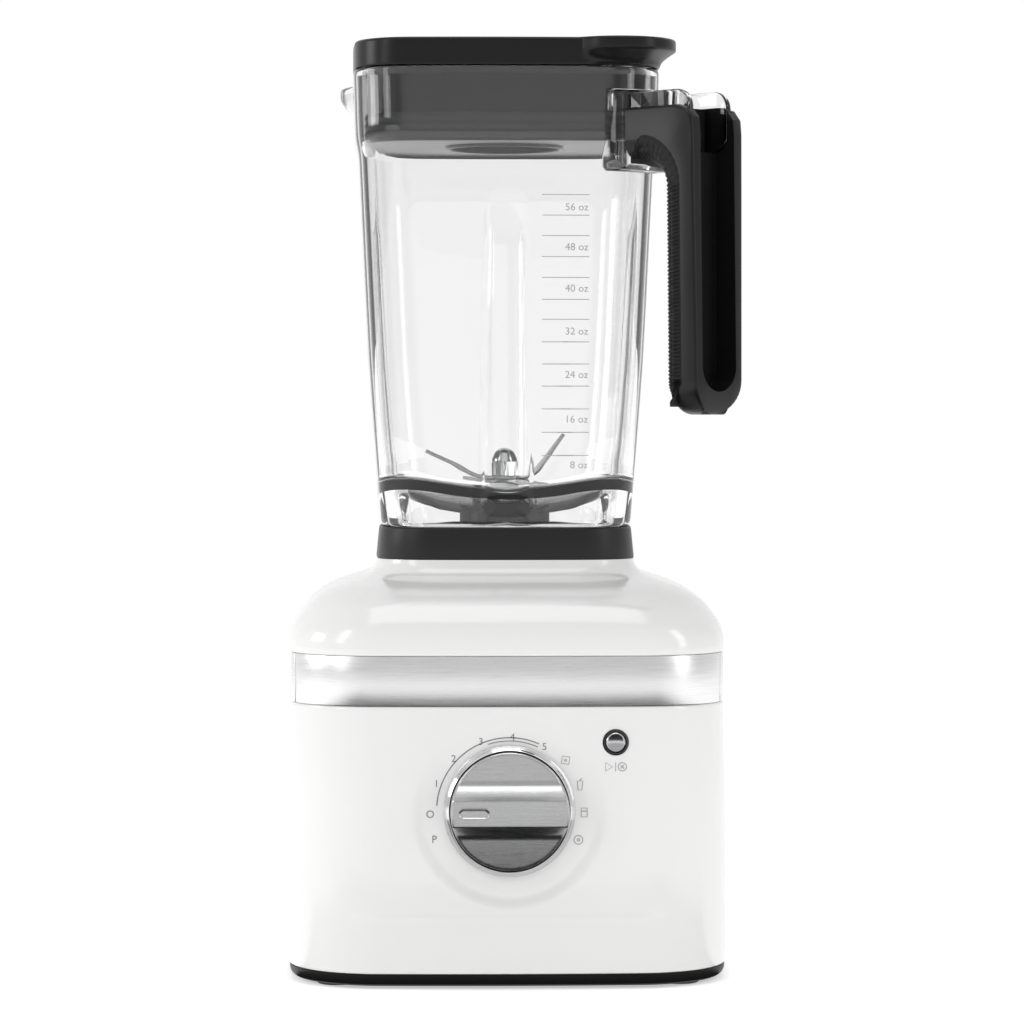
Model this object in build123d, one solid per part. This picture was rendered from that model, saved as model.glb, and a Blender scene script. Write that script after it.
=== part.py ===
from build123d import *
import math
import os

# Countertop blender: a motor base, a clear jar with a blade assembly and a corner handle, and a lid.
# Millimetres. The origin is where the drive axis meets the surface the base stands on.
# +Z is up, -Y is the front with the dial, +X is the right-hand side.
# The handle lies on the diagonal between front and right.

# ---------------------------------------------------------------- driving dimensions
# Base housing: from above, a square with bowed sides and round corners
base_half_width = 98.9
base_half_depth = 101.0
base_bow = 4.0
base_corner = 42.0
housing_wall = 2.8
housing_top_inset = 1.5
foot_height = 6.5
foot_inset = 1.0
foot_round = 4.5
foot_lift = 1.0
belly_low = 15.0
belly_high = 42.0
lower_height = 116.0
band_height = 21.9
band_thickness = 1.2
band_seam_y = -71.0
seam_gap = 0.3

# Dome and neck that carry the jar
dome_height = 40.2
dome_rise = 29.5
neck_step = 3.4
neck_half = 58.5
neck_bow = 3.0
neck_corner = 27.0
deck_thickness = 2.8

# Jar pad: black collar with a pocket that the foot of the jar stands in
pad_height = 14.5
pad_floor = 5.4
pad_taper = 1.2
pad_wall = 3.6

# Jar
jar_wall = 3.2
jar_bow = 3.0
jar_corner = 26.0
jar_foot_clearance = 0.5
jar_bottom_half = 56.8
jar_rim_half = 69.65
jar_height = 204.4
jar_foot_height = 9.2
jar_band_height = 32.5
jar_band_step = 1.1
dish_height = 21.0
hub_floor = 8.5
hub_half = 31.0
flute_radius = 14.0
flute_depth_low = 5.3
flute_depth_high = 2.9
flute_top_gap = 53.5
flute_bottom_gap = 14.0
spout_radius = 12.0
spout_reach = 12.0
spout_height = 18.0

# Lid and measuring cup
lid_height = 12.3
lid_inset = 0.35
lid_corner = 25.0
lid_wall = 3.0
tab_radius = 23.0
tab_reach = 8.4
tab_lip = 5.5
plug_depth = 41.7
plug_wall = 2.4
plug_clearance = 0.8
gasket_height = 11.0
gasket_clearance = 0.3
cup_radius = 23.8
cup_wall = 1.8
cup_flange = 3.2
cup_crown = 0.8
cup_clearance = 0.4

# Handle
handle_width_top = 35.0
handle_width_bottom = 31.0
handle_outer_top = 128.3
handle_outer_bottom = 130.0
handle_inner = 109.0
handle_start = 90.0
arm_top_gap = 19.5
arm_thickness = 25.0
grip_length = 110.0
channel_half = 11.0
channel_floor = 6.0
cheek_thickness = 3.0
cheek_end = 124.6
cheek_rise = 7.0
bracket_clearance = 0.3
rib_pad_thickness = 2.6

# Dial, button and boards
dial_z = 77.5
knob_radius = 25.7
knob_depth = 15.2
knob_web = 5.6
knob_bar = 11.6
knob_gap = 0.8
bezel_width = 2.5
bezel_height = 5.0
dish_radius = 42.4
dish_bevel = 5.0
dish_depth = 1.8
dial_shaft_radius = 3.0
button_x = 46.1
button_z = 107.0
button_radius = 4.25
button_travel = 1.5
button_ring = 1.3
board_thickness = 1.6
board_gap = 15.2

# Motor
shaft_radius = 5.0
stator_half = 46.0
stator_height = 50.0
armature_radius = 25.0
air_gap = 0.6
commutator_radius = 14.0
commutator_height = 16.0
bearing_radius = 13.0
bearing_height = 9.0
fan_radius = 44.0
fan_height = 18.0
bracket_plate = 6.0
damper_radius = 9.0
damper_height = 6.0
motor_lift = 44.0

# Couplers and blade assembly
coupler_radius = 15.0
coupler_plate = 4.0
coupler_teeth = 6
tooth_height = 5.4
tooth_angle = 26.0
blade_shaft_radius = 4.0
blade_hub_radius = 11.0
ring_radius = 21.0
ring_height = 6.5
blade_thickness = 1.6
blade_plane = 15.5
blade_width = 15.0

# Rear air grille and cord gland
gland_x = -52.0
gland_z = 26.0
gland_radius = 7.0
gland_bore = 3.5
gland_flange = 10.0
grille_low = 14.0
grille_high = 38.0
grille_left = -20.0
grille_right = 60.0
grille_frame = 3.0
slat_pitch = 4.0
slat_gap = 2.0

# Base bosses, screws and air slots
boss_inset = 34.0
boss_radius = 6.0
boss_height = 18.0
boss_rib = 3.0
lip_height = 6.0
screw_radius = 2.0
foot_inset_from_edge = 24.0
foot_pad_radius = 9.0
slot_count = 9
slot_pitch = 8.0
slot_half_width = 2.0
slot_half_length = 32.0

# Motor coils, screws and brushes
screw_hole = 2.6
motor_screw_radius = 2.2
stator_corner = 7.0
coil_x = 30.0
coil_y = 22.0
coil_leg = 7.2
coil_overhang = 8.0
winding_slots = 12
winding_circle = 20.5
commutator_bars = 24
fan_blades = 9
brush_half = 3.9
holder_wall = 2.0
encoder_half = 8.0

# Coupler spacing, the jar's handle bracket and the height where its wall meets its floor
coupler_gap = 0.6
bracket_half = 14.0
bracket_low_gap = 5.5
cheek_corner = 8.0
jar_split_gap = 3.0

# Fits
running = 0.05
loose = 0.25

# ---------------------------------------------------------------- levels worked out from the above
lower_top = foot_height + lower_height
dome_spread = base_half_width - neck_half - neck_step
band_top = lower_top + band_height
neck_top = band_top + dome_height
pad_top = neck_top + pad_height
pocket_floor = neck_top + pad_floor
jar_bottom = pocket_floor
jar_shoulder = jar_bottom + jar_foot_height
jar_rim = jar_shoulder + jar_height
jar_band_low = jar_rim - jar_band_height
hub_top = jar_shoulder + hub_floor
floor_edge = hub_top + dish_height - 4.0
lid_bottom = jar_rim + 0.2
lid_top = lid_bottom + lid_height
arm_top = jar_rim - arm_top_gap
arm_bottom = arm_top - arm_thickness
grip_bottom = arm_bottom - grip_length
panel_y = -(base_half_depth - dish_depth)
motor_floor = motor_lift


# ---------------------------------------------------------------- helpers
def plan(half_x, half_y, bow, corner):
    """Flat outline of a rectangle with bowed sides and round corners."""
    cx = half_x - bow
    cy = half_y - bow
    front = ThreePointArc((-cx, -cy), (0, -half_y), (cx, -cy))
    right = ThreePointArc((cx, -cy), (half_x, 0), (cx, cy))
    rear = ThreePointArc((cx, cy), (0, half_y), (-cx, cy))
    left = ThreePointArc((-cx, cy), (-half_x, 0), (-cx, -cy))
    outline = make_face([front, right, rear, left])
    return fillet(outline.vertices(), corner)


def base_plan(inset):
    """Outline of the base, a given distance inside its widest wall."""
    return plan(base_half_width - inset, base_half_depth - inset, base_bow, base_corner - inset)


def dome_plan(half, inset=0.0):
    """Outline between the base and the neck, for a given half width before the inset."""
    share = (half - neck_half) / (base_half_width - neck_half)
    depth_gain = (base_half_depth - base_half_width) * share
    bow = neck_bow + (base_bow - neck_bow) * share
    corner = neck_corner + (base_corner - neck_corner) * share
    return plan(half - inset, half + depth_gain - inset, bow, corner - inset)


def jar_plan(half, inset=0.0):
    """Outline of the jar, a given distance inside the half width."""
    return plan(half - inset, half - inset, jar_bow, jar_corner - inset)


def at_z(face, z):
    return Pos(0, 0, z) * face


def prism(face, z_low, z_high):
    return extrude(at_z(face, z_low), z_high - z_low)


def rod(radius, z_low, z_high, x=0.0, y=0.0):
    """Upright cylinder."""
    return Pos(x, y, (z_low + z_high) / 2) * Cylinder(radius, z_high - z_low)


def tube(outer, inner, z_low, z_high, x=0.0, y=0.0):
    """Upright ring."""
    return rod(outer, z_low, z_high, x, y) - rod(inner, z_low - 1, z_high + 1, x, y)


def front_rod(radius, y_front, y_back, x, z):
    """Cylinder that lies front to back."""
    return Pos(x, (y_front + y_back) / 2, z) * Rot(90, 0, 0) * Cylinder(radius, y_back - y_front)


def block(x_low, x_high, y_low, y_high, z_low, z_high):
    """Box between two corners."""
    centre = Pos((x_low + x_high) / 2, (y_low + y_high) / 2, (z_low + z_high) / 2)
    return centre * Box(x_high - x_low, y_high - y_low, z_high - z_low)


def joined(shapes):
    """Union of a list of solids."""
    total = shapes[0]
    for shape in shapes[1:]:
        total = total + shape
    return total


def four_corners(offset_x, offset_y):
    return [(sx * offset_x, sy * offset_y) for sx in (-1, 1) for sy in (-1, 1)]


def save(shape, name):
    """Write one sub-part as plain solids."""
    solids = shape.solids()
    whole = solids[0] if len(solids) == 1 else Compound(children=list(solids))
    whole.label = name
    export_step(whole, f"parts/{name}.step")


# ---------------------------------------------------------------- base housing
boss_x = base_half_width - boss_inset
boss_y = base_half_depth - boss_inset
feet_x = base_half_width - foot_inset_from_edge
feet_y = base_half_depth - foot_inset_from_edge
damper_offset = stator_half - 6.0


def make_base_plate():
    plate = prism(base_plan(foot_inset), foot_lift, foot_height)
    plate = fillet(plate.faces().sort_by(Axis.Z)[0].outer_wire().edges(), foot_round)
    lip_outer = base_plan(foot_inset + housing_wall + loose)
    lip_inner = base_plan(foot_inset + 2 * housing_wall)
    lip = prism(lip_outer, foot_height, foot_height + lip_height)
    lip = lip - prism(lip_inner, foot_height - 1, foot_height + lip_height + 1)
    posts = [rod(damper_radius, foot_height - 1, motor_floor - damper_height, x, y)
             for x, y in four_corners(damper_offset, damper_offset)]
    plate = joined([plate, lip] + posts)
    pan_depth = foot_height - foot_lift - housing_wall
    for x, y in four_corners(feet_x, feet_y):
        plate = plate - rod(foot_pad_radius + loose, foot_lift - 1, foot_lift + pan_depth, x, y)
    for x, y in four_corners(boss_x, boss_y):
        plate = plate - rod(screw_radius + loose, foot_lift - 1, foot_height + 1, x, y)
        plate = plate - rod(2 * screw_radius + loose, foot_lift - 1, foot_lift + pan_depth, x, y)
    for index in range(slot_count):
        x = (index - (slot_count - 1) / 2) * slot_pitch
        plate = plate - block(x - slot_half_width, x + slot_half_width, -slot_half_length, slot_half_length,
                              foot_lift - 1, foot_height + 1)
    return plate


def make_rubber_feet():
    pan_depth = foot_height - foot_lift - housing_wall
    feet = [rod(foot_pad_radius, 0, foot_lift + pan_depth - running, x, y)
            for x, y in four_corners(feet_x, feet_y)]
    return Compound(children=feet)


def make_base_screws():
    pan_depth = foot_height - foot_lift - housing_wall
    screws = []
    for x, y in four_corners(boss_x, boss_y):
        head = rod(2 * screw_radius, foot_lift + 0.4, foot_lift + pan_depth, x, y)
        shank = rod(screw_radius - running, foot_lift + pan_depth - 0.5, foot_height + 14, x, y)
        screws.append(head + shank)
    return Compound(children=screws)


def side_inset(share):
    """How far the housing wall draws in, from the belly (0) to its top edge (1)."""
    return housing_top_inset * share ** 1.5


def make_lower_housing():
    levels = [(foot_height, 0.5), (belly_low, 0.0), (belly_high, 0.0)]
    levels += [(belly_high + share * (lower_top - belly_high), side_inset(share)) for share in (0.45, 0.75, 1.0)]
    outer = loft([at_z(base_plan(inset), z) for z, inset in levels])
    inner_levels = [(foot_height - 1, 0.5)] + levels[1:-1] + [(lower_top + 1, housing_top_inset)]
    inner = loft([at_z(base_plan(inset + housing_wall), z) for z, inset in inner_levels])
    shell = outer - inner
    bosses = []
    for x, y in four_corners(boss_x, boss_y):
        boss = rod(boss_radius, foot_height, foot_height + boss_height, x, y)
        sx = math.copysign(1, x)
        sy = math.copysign(1, y)
        rib_z = foot_height + (boss_height + lip_height + 1) / 2
        rib_high = boss_height - lip_height - 1
        rib = Pos(x + sx * 11, y + sy * 11, rib_z) * Rot(0, 0, 45 * sx * sy) * Box(26, boss_rib, rib_high)
        bosses.append((boss + rib) & outer)
    backing = front_rod(dish_radius - dish_bevel + 3, panel_y + 0.5, panel_y + housing_wall, 0, dial_z)
    shell = joined([shell, backing] + bosses)
    bevel = Pos(0, panel_y - dish_depth - 0.01, dial_z) * Rot(90, 0, 0)
    dish_cut = bevel * Cone(dish_radius - dish_bevel, dish_radius + dish_bevel, 4 * dish_depth)
    shell = shell - dish_cut - front_rod(dish_radius - dish_bevel, panel_y - 20, panel_y, 0, dial_z)
    shell = shell - front_rod(5.0, panel_y - 5, panel_y + 10, 0, dial_z)
    shell = shell - front_rod(button_radius + button_ring + loose, panel_y - 20, panel_y + 15, button_x, button_z)
    for x, y in four_corners(boss_x, boss_y):
        shell = shell - rod(screw_radius, foot_height - 1, foot_height + 15, x, y)
    shell = shell - grille_window(loose) - front_rod(gland_radius + loose, 50, base_half_depth + 5, gland_x, gland_z)
    return shell


def grille_window(margin):
    """Straight-sided opening for the rear air grille, grown by a margin."""
    return block(grille_left - margin, grille_right + margin, 60, base_half_depth + 5,
                 grille_low - margin, grille_high + margin)


def make_rear_grille():
    outer = loft([at_z(base_plan(inset), z) for z, inset in ((belly_low - 5, 0.4), (belly_high, 0.4))])
    inner = prism(base_plan(housing_wall + 2), 0, belly_high + 5)
    panel = (outer - inner) & grille_window(0)
    slat_count = int((grille_high - grille_low - slat_pitch) / slat_pitch)
    for index in range(slat_count):
        z = grille_low + grille_frame + index * slat_pitch
        panel = panel - block(grille_left + grille_frame, grille_right - grille_frame, 60, base_half_depth + 5,
                              z, z + slat_gap)
    return panel


def make_cord_gland():
    wall_y = base_half_depth
    sleeve = front_rod(gland_radius, wall_y - 14, wall_y + 1, gland_x, gland_z)
    flange = front_rod(gland_flange, wall_y - housing_wall - 5, wall_y - housing_wall - 3, gland_x, gland_z)
    bore = front_rod(gland_bore, wall_y - 15, wall_y + 2, gland_x, gland_z)
    return sleeve + flange - bore


def band_ring():
    """Metal band that runs round between the two housings."""
    outer = prism(base_plan(housing_top_inset), lower_top + 0.1, band_top - 0.1)
    inner = prism(base_plan(housing_top_inset + band_thickness), lower_top - 1, band_top + 1)
    return outer - inner


def make_band_front():
    keep = block(-200, 200, -200, band_seam_y - seam_gap / 2, 0, band_top + 5)
    return band_ring() & keep


def make_band_rear():
    keep = block(-200, 200, band_seam_y + seam_gap / 2, 200, 0, band_top + 5)
    return band_ring() & keep


def dome_stations(shrink):
    """Heights and half widths up the dome: a quarter ellipse that ends at the neck."""
    centre_z = band_top + 1.6
    centre_half = base_half_width - 1.0 - dome_spread
    stations = []
    for angle in (0, 22, 42, 58, 70, 80):
        t = math.radians(angle)
        z = centre_z + (dome_rise - shrink) * math.sin(t)
        half = centre_half + (dome_spread - shrink) * math.cos(t)
        stations.append((z, half))
    return stations


def make_upper_housing():
    stations = [(band_top, base_half_width - 1.0)] + dome_stations(0)
    top_z, top_half = stations[-1]
    outer = loft([at_z(dome_plan(half), z) for z, half in stations])
    blend = (neck_top - top_z)
    neck = loft([at_z(dome_plan(top_half), top_z),
                 at_z(dome_plan(neck_half + 0.16 * (top_half - neck_half)), top_z + 0.38 * blend),
                 at_z(dome_plan(neck_half), neck_top)])
    inner_stations = [(band_top - 1, base_half_width - 1.0 - housing_wall)] + dome_stations(housing_wall)
    inner = loft([at_z(dome_plan(half), z) for z, half in inner_stations])
    neck_pocket = prism(dome_plan(neck_half, housing_wall), band_top + 10, neck_top - deck_thickness)
    shell = outer + neck - inner - neck_pocket
    skirt_inset = housing_top_inset + band_thickness + loose
    skirt = prism(base_plan(skirt_inset), lower_top + 0.1, band_top + 0.5)
    skirt = skirt - prism(base_plan(skirt_inset + housing_wall), lower_top - 1, band_top + 1)
    tongue_inset = housing_top_inset + housing_wall + loose
    tongue = prism(base_plan(tongue_inset), lower_top - 8, lower_top + 0.2)
    tongue = tongue - prism(base_plan(tongue_inset + 2.2), lower_top - 9, lower_top + 1)
    shelf = prism(base_plan(skirt_inset), lower_top + 0.1, lower_top + 2.5)
    shelf = shelf - prism(base_plan(tongue_inset + 2.2), lower_top - 1, lower_top + 3)
    ledge = prism(base_plan(skirt_inset), band_top - 1.5, band_top + 1.5)
    ledge = ledge - prism(base_plan(housing_top_inset + housing_wall + 4), band_top - 2, band_top + 2)
    shell = joined([shell, skirt, tongue, shelf, ledge])
    return shell - rod(coupler_radius + 4, neck_top - 10, neck_top + 5)


def make_jar_pad():
    body = loft([at_z(plan(neck_half + 0.2, neck_half + 0.2, neck_bow, neck_corner), neck_top),
                 at_z(plan(neck_half + 0.2 - pad_taper, neck_half + 0.2 - pad_taper, neck_bow,
                           neck_corner - pad_taper), pad_top)])
    body = fillet(body.faces().sort_by(Axis.Z)[-1].outer_wire().edges(), 1.2)
    pocket_half = neck_half - pad_taper + 0.2 - pad_wall
    pocket = prism(plan(pocket_half, pocket_half, neck_bow, neck_corner - pad_wall), pocket_floor, pad_top + 1)
    return body - pocket - rod(coupler_radius + 9, neck_top - 1, pad_top)


# ---------------------------------------------------------------- dial, button and boards
button_bow = base_bow * (button_x / (base_half_width - base_bow)) ** 2
button_inset = housing_top_inset * (button_z - belly_high) / (lower_top - belly_high)
button_y = -(base_half_depth - button_inset - button_bow)
board_y = panel_y + board_gap
knob_face_y = panel_y - knob_gap - knob_depth
board_left = -56.0
board_right = button_x + 16.0
board_low = dial_z - 18.0
board_high = button_z + 11.0


def make_dial_bezel():
    back = panel_y
    outer_radius = knob_radius + 0.4 + bezel_width
    ring = front_rod(outer_radius, back - bezel_height, back, 0, dial_z)
    ring = chamfer(ring.faces().sort_by(Axis.Y)[0].edges(), bezel_width * 0.7)
    return ring - front_rod(knob_radius + 0.4, back - 20, back + 1, 0, dial_z)


def make_dial_knob():
    disc = front_rod(knob_radius, knob_face_y, panel_y - knob_gap, 0, dial_z)
    web_y = panel_y - knob_gap - knob_web
    half_bar = knob_bar / 2
    scoop = web_y - knob_face_y
    top_edge = half_bar + scoop * 0.8
    upper = [(knob_face_y - 5, half_bar), (knob_face_y, half_bar)]
    arc_mid = (knob_face_y + scoop * 0.72, half_bar + scoop * 0.24)
    edges = [Polyline(upper[0], upper[1]),
             ThreePointArc(upper[1], arc_mid, (web_y, top_edge)),
             Polyline((web_y, top_edge), (web_y, knob_radius + 5), (knob_face_y - 5, knob_radius + 5), upper[0])]
    hollow = extrude(Plane.YZ * make_face(edges), knob_radius + 5, both=True)
    knob = disc - Pos(0, 0, dial_z) * hollow
    knob = knob - Pos(0, 0, dial_z) * mirror(hollow, Plane.XY)
    pocket_x = knob_radius - 9.5
    slot = Pos(-pocket_x, knob_face_y, dial_z) * Rot(90, 0, 0) * extrude(SlotOverall(12, 2.6), 0.5, both=True)
    return knob - slot - front_rod(dial_shaft_radius + running, knob_face_y + 4, panel_y + 1, 0, dial_z)


def make_dial_shaft():
    return front_rod(dial_shaft_radius, knob_face_y + 4.2, board_y - 3, 0, dial_z)


def make_encoder_body():
    back_wall = panel_y + housing_wall
    body = block(-encoder_half, encoder_half, back_wall + 0.3, board_y, dial_z - encoder_half, dial_z + encoder_half)
    bush = front_rod(4.7, panel_y + 0.3, back_wall + 1, 0, dial_z)
    return body + bush - front_rod(dial_shaft_radius + running, panel_y - 5, board_y - 2, 0, dial_z)


def make_control_board():
    board = block(board_left, board_right, board_y, board_y + board_thickness, board_low, board_high)
    parts = [board]
    for index in range(4):
        x = board_left + 14 + index * 27
        parts.append(block(x, x + 12, board_y + board_thickness - 0.1, board_y + board_thickness + 6,
                           board_low + 20, board_low + 34))
    return joined(parts)


button_back = button_y + 6.5
switch_front = button_back + 3.4


def make_button_bezel():
    outer = button_radius + button_ring
    ring = front_rod(outer, button_y - 0.7, button_back - 1.3, button_x, button_z)
    return ring - front_rod(button_radius + 0.15, button_y - 5, button_back, button_x, button_z)


def make_start_button():
    cap = front_rod(button_radius, button_y - 0.9, button_back, button_x, button_z)
    flange = front_rod(button_radius + 0.9, button_back - 1.1, button_back, button_x, button_z)
    stem = front_rod(1.3, button_back - 0.5, button_back + 1.7, button_x, button_z)
    dish = Pos(button_x, button_y - 0.9 - 16.5, button_z) * Sphere(17.0)
    return cap + flange + stem - dish


def make_button_spring():
    coil_radius = 2.4
    wire_radius = 0.3
    pitch = 1.0
    length = switch_front - button_back - 2 * wire_radius - 0.1
    helix = Helix(pitch=pitch, height=length, radius=coil_radius)
    profile = Plane(origin=helix @ 0, z_dir=helix % 0) * Circle(wire_radius)
    coil = sweep(profile, path=helix, is_frenet=True)
    return Pos(button_x, button_back + wire_radius + 0.05, button_z) * Rot(-90, 0, 0) * coil


def make_button_switch():
    return block(button_x - 4, button_x + 4, switch_front, board_y, button_z - 4, button_z + 4)


def make_power_board():
    wall_x = -(base_half_width - 17)
    board = block(wall_x, wall_x + board_thickness, -30, 45, motor_floor, motor_floor + 58)
    top_x = wall_x + board_thickness
    filter_block = block(top_x - 0.1, top_x + 13, -20, 10, motor_floor + 8, motor_floor + 34)
    caps = [Pos(top_x + 7, 28, motor_floor + 15 + 24 * k) * Rot(0, 90, 0) * Cylinder(7, 14.2) for k in (0, 1)]
    return joined([board, filter_block] + caps)


# ---------------------------------------------------------------- motor
commutator_low = motor_floor + bracket_plate + 4
stator_low = commutator_low + commutator_height + 8
stator_top = stator_low + stator_height
top_plate_low = stator_top + 14
lower_bearing_low = motor_floor - bearing_height + bracket_plate - 1
upper_bearing_low = top_plate_low + 0.8
fan_low = motor_floor - 10 - fan_height
brush_z = commutator_low + commutator_height / 2
drive_plate_low = neck_top - 1.6
drive_plate_top = drive_plate_low + coupler_plate


def make_motor_stator():
    stack = block(-stator_half, stator_half, -stator_half, stator_half, stator_low, stator_top)
    stack = fillet(stack.edges().filter_by(Axis.Z), stator_corner)
    stack = stack - rod(armature_radius + air_gap, stator_low - 1, stator_top + 1)
    for x, y in four_corners(damper_offset, damper_offset):
        stack = stack - rod(screw_hole, stator_low - 1, stator_top + 1, x, y)
    for sx in (-1, 1):
        window = block(coil_x - 4, coil_x + 4, -32, 32, stator_low - 1, stator_top + 1)
        stack = stack - Pos((sx - 1) * coil_x, 0, 0) * window
    return stack


def make_field_coils():
    coils = []
    clear_radius = armature_radius + air_gap + 1.0
    for sy in (-1, 1):
        legs = [block(sx * coil_x - coil_leg / 2, sx * coil_x + coil_leg / 2, sy * coil_y - 9, sy * coil_y + 9,
                      stator_low - coil_overhang, stator_top + coil_overhang) for sx in (-1, 1)]
        ends = [block(-coil_x - coil_leg / 2, coil_x + coil_leg / 2, sy * coil_y - 9, sy * coil_y + 15,
                      z, z + coil_overhang)
                for z in (stator_low - coil_overhang - bracket_clearance, stator_top + bracket_clearance)]
        coils.append(joined(legs + ends) - rod(clear_radius, stator_low - 20, stator_top + 20))
    return Compound(children=coils)


def motor_bracket(z_low, boss_low, boss_high, post_low, post_high):
    plate = block(-stator_half, stator_half, -stator_half, stator_half, z_low, z_low + bracket_plate)
    plate = fillet(plate.edges().filter_by(Axis.Z), stator_corner)
    boss = rod(bearing_radius + 4, boss_low, boss_high)
    posts = [rod(5.5, post_low, post_high, x, y) for x, y in four_corners(damper_offset, damper_offset)]
    shape = joined([plate, boss] + posts)
    for k in range(4):
        window = Rot(0, 0, 90 * k) * block(-13, 13, bearing_radius + 8, stator_half - 8, z_low - 1,
                                           z_low + bracket_plate + 1)
        shape = shape - window
    for x, y in four_corners(damper_offset, damper_offset):
        shape = shape - rod(screw_hole, min(z_low, post_low) - 1, max(z_low + bracket_plate, post_high) + 1, x, y)
    return shape


def make_motor_bottom_bracket():
    shape = motor_bracket(motor_floor, lower_bearing_low - 2, motor_floor + bracket_plate,
                          motor_floor + bracket_plate - 1, stator_low)
    shape = shape - rod(bearing_radius, lower_bearing_low, motor_floor + bracket_plate + 1)
    return shape - rod(shaft_radius + 2, lower_bearing_low - 5, motor_floor)


def make_motor_top_bracket():
    top = top_plate_low + bracket_plate
    shape = motor_bracket(top_plate_low, top_plate_low, upper_bearing_low + bearing_height + 2,
                          stator_top, top_plate_low + 1)
    shape = shape - rod(bearing_radius, top_plate_low - 1, upper_bearing_low + bearing_height)
    return shape - rod(shaft_radius + 2, top, upper_bearing_low + bearing_height + 5)


def bearing(z_low):
    return tube(bearing_radius - running, shaft_radius + running, z_low, z_low + bearing_height)


def make_brush_holders():
    holders = []
    for sx in (-1, 1):
        hole_half = brush_half + 2 * running
        outside = hole_half + holder_wall
        box = block(17, 45, -outside, outside, brush_z - outside, brush_z + outside)
        leg = block(37, 45, -outside, outside, motor_floor + bracket_plate, brush_z - outside + 1)
        hole = block(10, 41, -hole_half, hole_half, brush_z - hole_half, brush_z + hole_half)
        holder = box + leg - hole
        holders.append(holder if sx > 0 else mirror(holder, Plane.YZ))
    return Compound(children=holders)


def make_carbon_brushes():
    brushes = []
    for sx in (-1, 1):
        brush = block(10, 32, -brush_half, brush_half, brush_z - brush_half, brush_z + brush_half)
        brush = brush - rod(commutator_radius + 0.3, brush_z - 10, brush_z + 10)
        brushes.append(brush if sx > 0 else mirror(brush, Plane.YZ))
    return Compound(children=brushes)


def make_motor_dampers():
    rings = [tube(damper_radius, 5.0, motor_floor - damper_height, motor_floor, x, y)
             for x, y in four_corners(damper_offset, damper_offset)]
    return Compound(children=rings)


def make_motor_screws():
    screws = []
    top = top_plate_low + bracket_plate
    for x, y in four_corners(damper_offset, damper_offset):
        head = rod(4.2, motor_floor - 3.5, motor_floor, x, y)
        shank = rod(motor_screw_radius, motor_floor - 1, top + 6, x, y)
        nut = extrude(Pos(x, y, top) * RegularPolygon(4.0, 6), 3.5)
        screws.append(joined([head, shank, nut]))
    return Compound(children=screws)


def make_air_baffle():
    inner = fan_radius + 1.5
    ring = tube(inner + 1.6, inner, foot_height, fan_low + fan_height + 2)
    return ring


def make_motor_shaft():
    return rod(shaft_radius, fan_low - 2, drive_plate_top - 0.5)


def make_armature_core():
    core = tube(armature_radius, shaft_radius + running, stator_low, stator_top)
    for k in range(winding_slots):
        turn = 360 / winding_slots * k
        x = winding_circle * math.cos(math.radians(turn))
        y = winding_circle * math.sin(math.radians(turn))
        mouth = Pos(x, y, (stator_low + stator_top) / 2) * Rot(0, 0, turn) * Pos(4, 0, 0)
        core = core - rod(2.6, stator_low - 1, stator_top + 1, x, y) - mouth * Box(8, 1.6, stator_height + 2)
    return core


def make_armature_windings():
    ends = [tube(23.0, 9.0, z, z + 6.5) for z in (stator_low - 6.6, stator_top + 0.1)]
    turns = [2 * math.pi / winding_slots * k for k in range(winding_slots)]
    strands = [rod(2.4, stator_low - 3, stator_top + 3, winding_circle * math.cos(turn),
                   winding_circle * math.sin(turn)) for turn in turns]
    return joined(ends + strands)


def make_commutator():
    drum = tube(commutator_radius, shaft_radius + running, commutator_low, commutator_low + commutator_height)
    for k in range(commutator_bars):
        place = Rot(0, 0, 360 / commutator_bars * k) * Pos(commutator_radius, 0, brush_z)
        groove = place * Box(2, 0.5, commutator_height + 2)
        drum = drum - groove
    return drum


def make_cooling_fan():
    hub = tube(11.0, shaft_radius + running, fan_low, fan_low + fan_height)
    disc = tube(fan_radius, shaft_radius + running, fan_low + fan_height - 2.5, fan_low + fan_height)
    blades = [Rot(0, 0, 360 / fan_blades * k) * Pos(fan_radius / 2 + 3, 0, fan_low + fan_height / 2)
              * Rot(0, 0, 18) * Box(fan_radius - 14, 2, fan_height - 0.2) for k in range(fan_blades)]
    fan = joined([hub, disc] + blades)
    return fan & tube(fan_radius, shaft_radius + running, fan_low - 1, fan_low + fan_height + 1)


# ---------------------------------------------------------------- couplers and blade assembly
driven_plate_low = drive_plate_top + tooth_height + coupler_gap
floor_bottom = hub_top - 3.5
blade_root = hub_top + 11.5


def dog_teeth(z_low, z_high, offset):
    """Ring of driving teeth, as sectors of a tube."""
    ring = tube(coupler_radius, coupler_radius * 0.57, z_low, z_high)
    half = math.radians(tooth_angle / 2)
    reach = coupler_radius * 2
    sector = Polyline((0, 0), (reach * math.cos(half), -reach * math.sin(half)),
                      (reach * math.cos(half), reach * math.sin(half)), close=True)
    teeth = []
    for k in range(coupler_teeth):
        wedge = extrude(Pos(0, 0, z_low) * make_face(sector), z_high - z_low)
        teeth.append(ring & (Rot(0, 0, offset + 360 / coupler_teeth * k) * wedge))
    return teeth


def make_drive_coupler():
    hub = rod(9.0, drive_plate_low - 8, drive_plate_low + 1)
    plate = rod(coupler_radius, drive_plate_low, drive_plate_top)
    coupler = joined([hub, plate] + dog_teeth(drive_plate_top - 0.1, drive_plate_top + tooth_height, 0))
    return coupler - rod(shaft_radius + running, drive_plate_low - 9, drive_plate_top - 0.4)


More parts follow.
